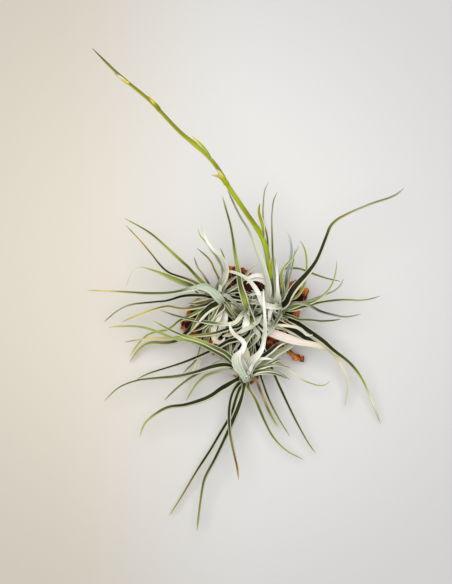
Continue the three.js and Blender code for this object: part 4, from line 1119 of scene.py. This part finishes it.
def bark_material():
    """Bark: rust orange on the worn outside, with a painted highlight on high spots, dark maroon
    and painted shade in its hollows and cracks.
    """
    material, graph = new_material("bark_skin")
    if not graph:
        return material
    bark = bpy.context.scene.air_plant_bark
    hues = (bark.rust, bark.glow, bark.heart, bark.painted_hollow_shade)
    rust, glow, heart, painted_hollow_shade = (tuple(part) for part in hues)
    place = graph.place()
    patches = graph.noise(place, 70.0, 4.0, 0.6)
    grain = graph.noise(place, 420.0, 5.0, 0.7)
    drawn_out = graph.add("ShaderNodeMapping", {"Vector": place, "Scale": (1, 1, 4)}).outputs[0]
    fibre = graph.noise(drawn_out, 260.0, 5.0, 0.7)

    # Relief and grain say how high a point stands, rim and patches how worn it is. Height adds to
    # that, and high spots turn orange: part wear, part painted highlight.
    height = graph.plus(graph.attribute("relief"), graph.times(graph.minus(grain, 0.5), 0.7))
    worn = graph.plus(graph.times(graph.attribute("rim"), 0.75), graph.times(height, 0.55))
    worn = graph.plus(worn, graph.times(graph.minus(patches, 0.5), 1.1))
    # Low spots inside go from maroon to painted shade
    inner = graph.blend(graph.ramp(height, 0.25, 0.8), painted_hollow_shade, heart)
    # Painted highlight and wear: high spots of the outside turn orange
    outer = graph.blend(graph.ramp(height, 0.35, 0.95), rust, glow)
    outer = graph.blend(graph.ramp(fibre, 0.62, 0.4, 0.0, 0.5), outer, heart)
    colour = graph.blend(graph.ramp(worn, 0.55, 0.85), inner, outer)
    # Painted shade in the lowest spots
    colour = graph.blend(graph.ramp(height, 0.3, 0.02, 0.0, 0.85), colour, painted_hollow_shade)
    graph.finish(colour, graph.ramp(grain, 0.2, 0.8, 0.75, 0.95), 0.2)
    graph.bump(graph.plus(grain, graph.times(fibre, 0.8)), 0.7, 1.0 * MM)
    return material


def floor_material():
    """Plain pale floor, a little warmer at the left of the view, with a painted pool of light round
    the plant and painted light brightening it far off.
    """
    material, graph = new_material("floor_paper")
    if not graph:
        return material
    stage = bpy.context.scene.air_plant_stage
    place = graph.place()
    warm, cool = tuple(stage.warm), tuple(stage.cool)
    middle = tuple((first + second) / 2 for first, second in zip(warm, cool))
    left_to_right = graph.add("ShaderNodeSeparateXYZ", {0: place}).outputs[0]

    # Warm to cool across the view, then one even tone far from the plant. Painted light: a pool
    # round the plant that fades by 0.4 m, and a slow brightening far from the plant.
    tone = graph.blend(graph.ramp(left_to_right, -0.2, 0.02), warm, cool)
    away = graph.add("ShaderNodeVectorMath", {0: place, 1: PAINTED_POOL_MIDDLE},
                     operation="DISTANCE").outputs["Value"]
    tone = graph.blend(graph.ramp(away, 0.35, 1.0), tone, middle)
    painted_light = graph.times(graph.ramp(away, 0.08, 0.4, 1.0, 0.8), graph.ramp(away, 0.4, 3.0, 1.0, 1.6))
    graph.finish(graph.tinted(tone, painted_light), 0.9, 0.2)
    return material


def copy_node(node, name):
    """A merged copy of a CAD node's mesh, as a new object."""
    piece = bpy.data.objects.new(name, NODES[node].data.copy())
    bpy.context.scene.collection.objects.link(piece)
    pick([piece])
    close_mesh(holes=False)
    return piece


def roughen(piece, size):
    """Rounds a lump of bark into nuggets, and notes how high each point stands."""
    settings = bpy.context.scene.air_plant_bark
    start = read_places(piece.data).copy()
    for name, kind, scale, share, height, middle in BARK_WAVES:
        texture = bpy.data.textures.get(name) or bpy.data.textures.new(name, kind)
        texture.noise_scale = scale
        wave = piece.modifiers.new(name, "DISPLACE")
        wave.texture = texture
        wave.texture_coords = "LOCAL"
        wave.strength = share * getattr(settings, height) * size
        wave.mid_level = middle
    apply_all(piece)
    places = read_places(piece.data)
    normals = np.empty(len(places) * 3)
    piece.data.vertices.foreach_get("normal", normals)
    relief = np.sum((places - start) * normals.reshape(-1, 3), axis=1)
    low, high = np.percentile(relief, (8, 92))
    write_shares(piece.data, "relief", np.clip((relief - low) / (high - low), 0, 1))
    return start, places


def nearest_of(places, spots):
    """How far each place is from the nearest of some spots, seen from above."""
    return np.min(np.linalg.norm(places[:, None, :2] - spots[None], axis=2), axis=1)


def bark_below(place):
    """Whether there is bark below a place, and where its top is."""
    hit, spot, _, _ = bpy.data.objects["bark_lump"].ray_cast((*place, ABOVE_ALL), (0, 0, -1))
    return hit, spot


class AIRPLANT_OT_bark(Operator):
    """Rough lump of bark in rounded nuggets, hollow and dark between the rosettes"""
    bl_idname = "air_plant.bark"
    bl_label = "Bark"

    def execute(self, context):
        rough = read_places(NODES["bark_mount"].data)
        waist = rough[np.abs(rough[:, 2] - WAIST_HEIGHT) < 1 * MM][:, :2]
        piece = copy_node("bark_mount", "bark_lump")
        cells = piece.modifiers.new("Cells", "REMESH")
        cells.mode = "VOXEL"
        cells.voxel_size = context.scene.air_plant_bark.grain
        apply_all(piece)
        start, places = roughen(piece, 1)
        to_rim = nearest_of(start, waist)
        to_stem = nearest_of(start, np.array([stem_axis(rosette)[:2] for rosette in ROSETTES]))

        # Uneven hollows in its top, away from the rim and from the stems
        inner = smooth(7 * MM, 20 * MM, to_rim) * smooth(12 * MM, 18 * MM, places[:, 2])
        dips = 0.5 + 0.5 * np.sin(places[:, 0] * 160 + 1.3) * np.cos(places[:, 1] * 140)
        places[:, 2] -= inner * smooth(6 * MM, 13 * MM, to_stem) * (1 + 4 * dips) * MM
        places[:, 2] = np.maximum(places[:, 2], 0)
        write_places(piece.data, places)
        write_shares(piece.data, "rim", 1 - smooth(3 * MM, 12 * MM, to_rim))
        settle(piece, bark_material(), "bark_mount")
        return {"FINISHED"}


class AIRPLANT_OT_nuggets(Operator):
    """Loose nuggets of bark that stand up round the rim"""
    bl_idname = "air_plant.nuggets"
    bl_label = "Bark Nuggets"

    def execute(self, context):
        nuggets = []
        for number, (x, y, length, width, height, turn) in enumerate(BARK_NUGGETS, 1):
            place = np.array(true_point((x, y, NUGGET_HEIGHT))[:2])
            inward = unit(CLUMP_MIDDLE - place) * MM
            hit = False
            while not hit:
                place = place + inward
                hit, spot = bark_below(place)
            foot = max(spot.z, height * 0.5 * MM)
            leave_all()
            bpy.ops.mesh.primitive_cube_add(size=1 * MM)
            piece = context.object
            piece.name = piece.data.name = f"bark_nugget_{number:02d}"
            bpy.ops.object.mode_set(mode="EDIT")
            bpy.ops.transform.resize(value=(length, width, height))
            bpy.ops.transform.rotate(
                value=math.radians(-turn), orient_axis="Z", center_override=(0, 0, 0))
            bpy.ops.transform.translate(value=(*place, foot))
            bpy.ops.object.mode_set(mode="OBJECT")
            round_off(piece, 4)
            _, places = roughen(piece, 0.5)
            places[:, 2] = np.maximum(places[:, 2], OFF_FLOOR)
            write_places(piece.data, places)
            write_shares(piece.data, "rim", np.full(len(places), 0.95))
            nuggets.append(piece)
        settle(join_all(nuggets, "bark_nuggets"), bark_material())
        return {"FINISHED"}


class AIRPLANT_OT_leaves(Operator):
    """Large leaves of all four rosettes, each along its own CAD leaf"""
    bl_idname = "air_plant.leaves"
    bl_label = "Leaves"

    def execute(self, context):
        for rosette in ROSETTES:
            axis = stem_axis(rosette)
            for node in sorted(node for node in NODES if node.startswith(f"{rosette}_leaf_")):
                lay_blade(node, axis)
        return {"FINISHED"}


class AIRPLANT_OT_hearts(Operator):
    """Heart of each rosette: papery old leaf bases wound round the stem, and young leaves on top"""
    bl_idname = "air_plant.hearts"
    bl_label = "Hearts"

    def execute(self, context):
        steps = np.linspace(0, 1, len(SCALE_WIDTHS))
        for rosette in ROSETTES:
            low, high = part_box(f"{rosette}_stem")
            axis = stem_axis(rosette)
            chance = random.Random(rosette)
            scales = []
            for number in range(SCALES):
                # Each scale starts higher than the last, closer in, and closes more over the top
                share = number / (SCALES - 1)
                turn = number * SCALE_TURN + chance.uniform(-0.25, 0.25)
                out = np.array([math.cos(turn), math.sin(turn)])
                foot = low.z - 4 * MM + (high.z - low.z + 1 * MM) * share
                tall = (13 + 4 * share + chance.uniform(-1, 2)) * MM
                lean = 0.3 - 0.44 * share ** 2 + chance.uniform(0, 0.08)
                reach = np.maximum(
                    (4.6 - 2.6 * share) * MM + lean * tall * steps ** 1.8, 0.2 * MM)
                line = np.column_stack([axis[0] + out[0] * reach, axis[1] + out[1] * reach,
                                        foot + tall * steps * (1 - 0.1 * steps)])
                sides = np.repeat([(-out[1], out[0], 0)], len(steps), axis=0)
                widths = np.array(SCALE_WIDTHS) * MM * (1 - 0.2 * share)
                looks = next(looks for limit, looks in SCALE_LOOKS if share < limit)
                scales.append(
                    shape_blade(f"{rosette}_scale_{number:02d}", line, sides, widths, looks))
            heart = join_all(scales, f"{rosette}_heart")
            settle(heart, leaf_material("stem"), f"{rosette}_stem")
        return {"FINISHED"}


class AIRPLANT_OT_inner_leaves(Operator):
    """Short leaves low on each rosette, which hide most of the bark"""
    bl_idname = "air_plant.inner_leaves"
    bl_label = "Inner Leaves"

    def execute(self, context):
        settings = context.scene.air_plant_leaves
        steps = np.linspace(0, 1, 8)
        for rosette in ROSETTES:
            low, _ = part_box(f"{rosette}_stem")
            axis = stem_axis(rosette)
            chance = random.Random(f"inner {rosette}")
            towards = CLUMP_MIDDLE - axis[:2]
            facing = math.atan2(towards[1], towards[0])
            for number in range(settings.inner_leaves):
                # Longest towards the clump's middle. Every fifth one is dry and lies low.
                aside = 2 * (number * INNER_SHARE % 1) - 1
                turn = facing + INNER_FANS[rosette] * aside + chance.uniform(-0.1, 0.1)
                inward = 0.5 + 0.5 * math.cos(turn - facing)
                length = (26 + 24 * inward + chance.uniform(-5, 5)) * MM
                dry = number % 5 == 4
                foot = low.z + (2 if dry else 5 + chance.uniform(0, 12)) * MM
                rise = 0.15 if dry else chance.uniform(0.45, 0.95)
                sweep = turn + chance.uniform(-0.7, 0.7) * steps ** 1.5
                reach = 3.5 * MM + length * 0.86 * steps
                height = foot + length * (rise * steps - (rise * 0.75 + 0.12) * steps ** 2.2)
                line = np.column_stack([
                    axis[0] + np.cos(sweep) * reach, axis[1] + np.sin(sweep) * reach,
                    np.maximum(height, INNER_LOWEST)])
                middle = chance.uniform(3.4, 5.2)
                widths = np.array([6.5, 6, middle, middle, middle * 0.85, middle * 0.7,
                                   middle * 0.45, 0.5]) * MM
                look = -1 if dry else chance.randrange(len(INNER_LOOKS) - 1)
                if number in INNER_GAPS[rosette]:
                    continue
                slot = "leaf_dry" if dry else "leaf_green"
                piece = shape_blade(f"{rosette}_inner_{number:02d}", line, level_sides(line),
                                    widths, INNER_LOOKS[look])
                settle(piece, leaf_material(slot))
        return {"FINISHED"}


class AIRPLANT_OT_roots(Operator):
    """Wiry roots that hold each rosette to the bark"""
    bl_idname = "air_plant.roots"
    bl_label = "Roots"

    def execute(self, context):
        for rosette in ROSETTES:
            axis = stem_axis(rosette)
            low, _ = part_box(f"{rosette}_stem")
            chance = random.Random(f"roots {rosette}")
            roots = []
            for number in range(ROOTS):
                turn = number * 0.9 + chance.uniform(-0.3, 0.3)
                line = [(axis[0], axis[1], low.z + 4 * MM)]
                for step in range(1, ROOT_STEPS + 1):
                    # A root wanders over the bark, and its last step dips into it
                    turn += chance.uniform(-0.28, 0.28)
                    way = np.array([math.cos(turn), math.sin(turn)])
                    place = np.array(line[-1][:2]) + way * ROOT_STEP
                    hit, spot = bark_below(place)
                    if not hit or spot.z < ROOT_FLOOR:
                        break
                    lift = 0.7 if step < ROOT_STEPS else -0.6
                    line.append((*place, spot.z + lift * MM))
                if len(line) > 4:
                    radii = np.linspace(0.9, 0.45, len(line)) * MM
                    roots.append(roll_tube(
                        f"{rosette}_root_{number}", np.array(line), radii, 24, ROOT_LOOKS, 8))
            settle(join_all(roots, f"{rosette}_roots"), stalk_material())
        return {"FINISHED"}


class AIRPLANT_OT_stalk(Operator):
    """Long flower stalk with its two bracts and the sheaths along it"""
    bl_idname = "air_plant.stalk"
    bl_label = "Flower Stalk"

    def execute(self, context):
        line, radii, length = stalk_course()
        marks, _ = even_marks(line)
        knots = sum(np.exp(-((marks - place) / KNOT_SPREAD) ** 2) for place in STALK_KNOTS)
        piece = roll_tube(
            "flower_stalk_stem", line, radii * (0.96 + 0.15 * knots), len(line), STALK_LOOKS)
        settle(piece, stalk_material(), "flower_stalk")
        for node in ("stalk_bract_01", "stalk_bract_02"):
            lay_blade(node)

        # Each sheath clasps the stalk at its foot and stands off it more and more towards its tip
        rise = np.linspace(0, 1, len(SHEATH_WIDTHS))[:, None]
        for number, (place, reach, turn, lift, *looks) in enumerate(STALK_SHEATHS, 1):
            span = np.linspace(place, place + reach / (length / MM), len(SHEATH_WIDTHS))
            middle = curve_through(marks, line, span)
            along = unit(np.gradient(middle, axis=0))
            side = unit(np.cross((0, 0, 1), along))
            out = side * math.cos(turn) + np.cross(along, side) * math.sin(turn)
            thick = curve_through(marks, radii, span)[:, None]
            off = thick * (0.8 + 0.24 * smooth(0, 0.2, rise)) + rise ** 2 * lift * MM
            widths = np.array(SHEATH_WIDTHS) * thick[0, 0]
            wrap = 2.1 * thick[0, 0], reach * 0.7 * MM
            piece = shape_blade(f"stalk_sheath_{number:02d}", middle + out * off,
                                np.cross(along, out), widths, looks, wrap)
            settle(piece, leaf_material("leaf_lime"))
        return {"FINISHED"}


class AIRPLANT_OT_small_leaves(Operator):
    """Small leaves, dry threads and papery sheaths between the rosettes"""
    bl_idname = "air_plant.small_leaves"
    bl_label = "Small Leaves"

    def execute(self, context):
        for blade in SMALL_BLADES:
            lay_small_blade(*blade)
        return {"FINISHED"}


def soft_room(fill):
    """A plain white room, a little darker low down than overhead."""
    world = bpy.data.worlds.new("soft_room")
    world.use_nodes = True
    nodes, links = world.node_tree.nodes, world.node_tree.links
    height = nodes.new("ShaderNodeSeparateXYZ")
    links.new(nodes.new("ShaderNodeTexCoord").outputs["Generated"], height.inputs[0])
    glow = nodes.new("ShaderNodeMapRange")
    glow.interpolation_type = "SMOOTHSTEP"
    glow.inputs["From Max"].default_value = SKY_RISE
    glow.inputs["To Min"].default_value = fill * HORIZON_SHARE
    glow.inputs["To Max"].default_value = fill * OVERHEAD_SHARE
    links.new(height.outputs["Z"], glow.inputs["Value"])
    links.new(glow.outputs[0], nodes["Background"].inputs["Strength"])
    nodes["Background"].inputs["Color"].default_value = (1, 1, 1, 1)
    return world


class AIRPLANT_OT_stage(Operator):
    """Plain pale floor, soft light from the upper left, and the camera straight above"""
    bl_idname = "air_plant.stage"
    bl_label = "Stage"

    def execute(self, context):
        scene = context.scene
        stage = scene.air_plant_stage
        leave_all()
        bpy.ops.mesh.primitive_plane_add(size=FLOOR_SIZE, location=(0, 0, -0.2 * MM))
        floor = context.object
        floor.name = floor.data.name = "floor"
        bpy.ops.object.transform_apply(location=True, rotation=True, scale=True)
        floor.data.materials.append(floor_material())
        bpy.ops.object.light_add(type="AREA", location=KEY_PLACE)
        key = context.object
        key.name = "key_light"
        key.data.shape = "DISK"
        key.data.size = KEY_SIZE
        key.data.energy = stage.key_power
        key.data.color = stage.key_hue
        key.rotation_euler = (math.radians(KEY_LEAN[0]), math.radians(KEY_LEAN[1]), 0)
        scene.world = soft_room(stage.fill)
        bpy.ops.object.camera_add(location=EYE, rotation=(0, 0, 0))
        camera = context.object
        camera.name = "overhead_camera"
        camera.data.sensor_width = SENSOR
        camera.data.lens = SENSOR * (EYE[2] - TRUE_HEIGHT) / (max(PHOTO_SIZE) * MM)
        camera.data.clip_start = 0.01
        scene.camera = camera
        scene.view_settings.view_transform = "Standard"
        return {"FINISHED"}


class AIRPLANT_PT_panel(Panel):
    """Buttons for the pieces, and the settings that they use"""
    bl_idname = "AIRPLANT_PT_panel"
    bl_label = "Arhiza Air Plant"
    bl_space_type = "VIEW_3D"
    bl_region_type = "UI"
    bl_category = "Air Plant"

    def draw(self, context):
        for operator in OPERATORS:
            self.layout.operator(operator.bl_idname)
        for group in SETTINGS:
            settings = getattr(context.scene, group)
            box = self.layout.box()
            for name in type(settings).__annotations__:
                box.prop(settings, name)


OPERATORS = (
    AIRPLANT_OT_stage, AIRPLANT_OT_bark, AIRPLANT_OT_nuggets, AIRPLANT_OT_roots,
    AIRPLANT_OT_leaves, AIRPLANT_OT_hearts, AIRPLANT_OT_inner_leaves, AIRPLANT_OT_stalk,
    AIRPLANT_OT_small_leaves,
)
SETTINGS = {
    "air_plant_leaves": AirPlantLeafSettings,
    "air_plant_hues": AirPlantHues,
    "air_plant_bark": AirPlantBarkSettings,
    "air_plant_stage": AirPlantStageSettings,
}


def register():
    for kind in (*SETTINGS.values(), *OPERATORS, AIRPLANT_PT_panel):
        bpy.utils.register_class(kind)
    for name, kind in SETTINGS.items():
        setattr(bpy.types.Scene, name, PointerProperty(type=kind))


def unregister():
    for name in SETTINGS:
        delattr(bpy.types.Scene, name)
    for kind in (AIRPLANT_PT_panel, *reversed(OPERATORS), *reversed(list(SETTINGS.values()))):
        bpy.utils.unregister_class(kind)


def main():
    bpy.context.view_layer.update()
    register()
    bpy.ops.air_plant.stage()
    bpy.ops.air_plant.bark()
    bpy.ops.air_plant.nuggets()
    bpy.ops.air_plant.roots()
    bpy.ops.air_plant.leaves()
    bpy.ops.air_plant.hearts()
    bpy.ops.air_plant.inner_leaves()
    bpy.ops.air_plant.stalk()
    bpy.ops.air_plant.small_leaves()
    bpy.context.view_layer.update()


if __name__ == "__main__":
    main()
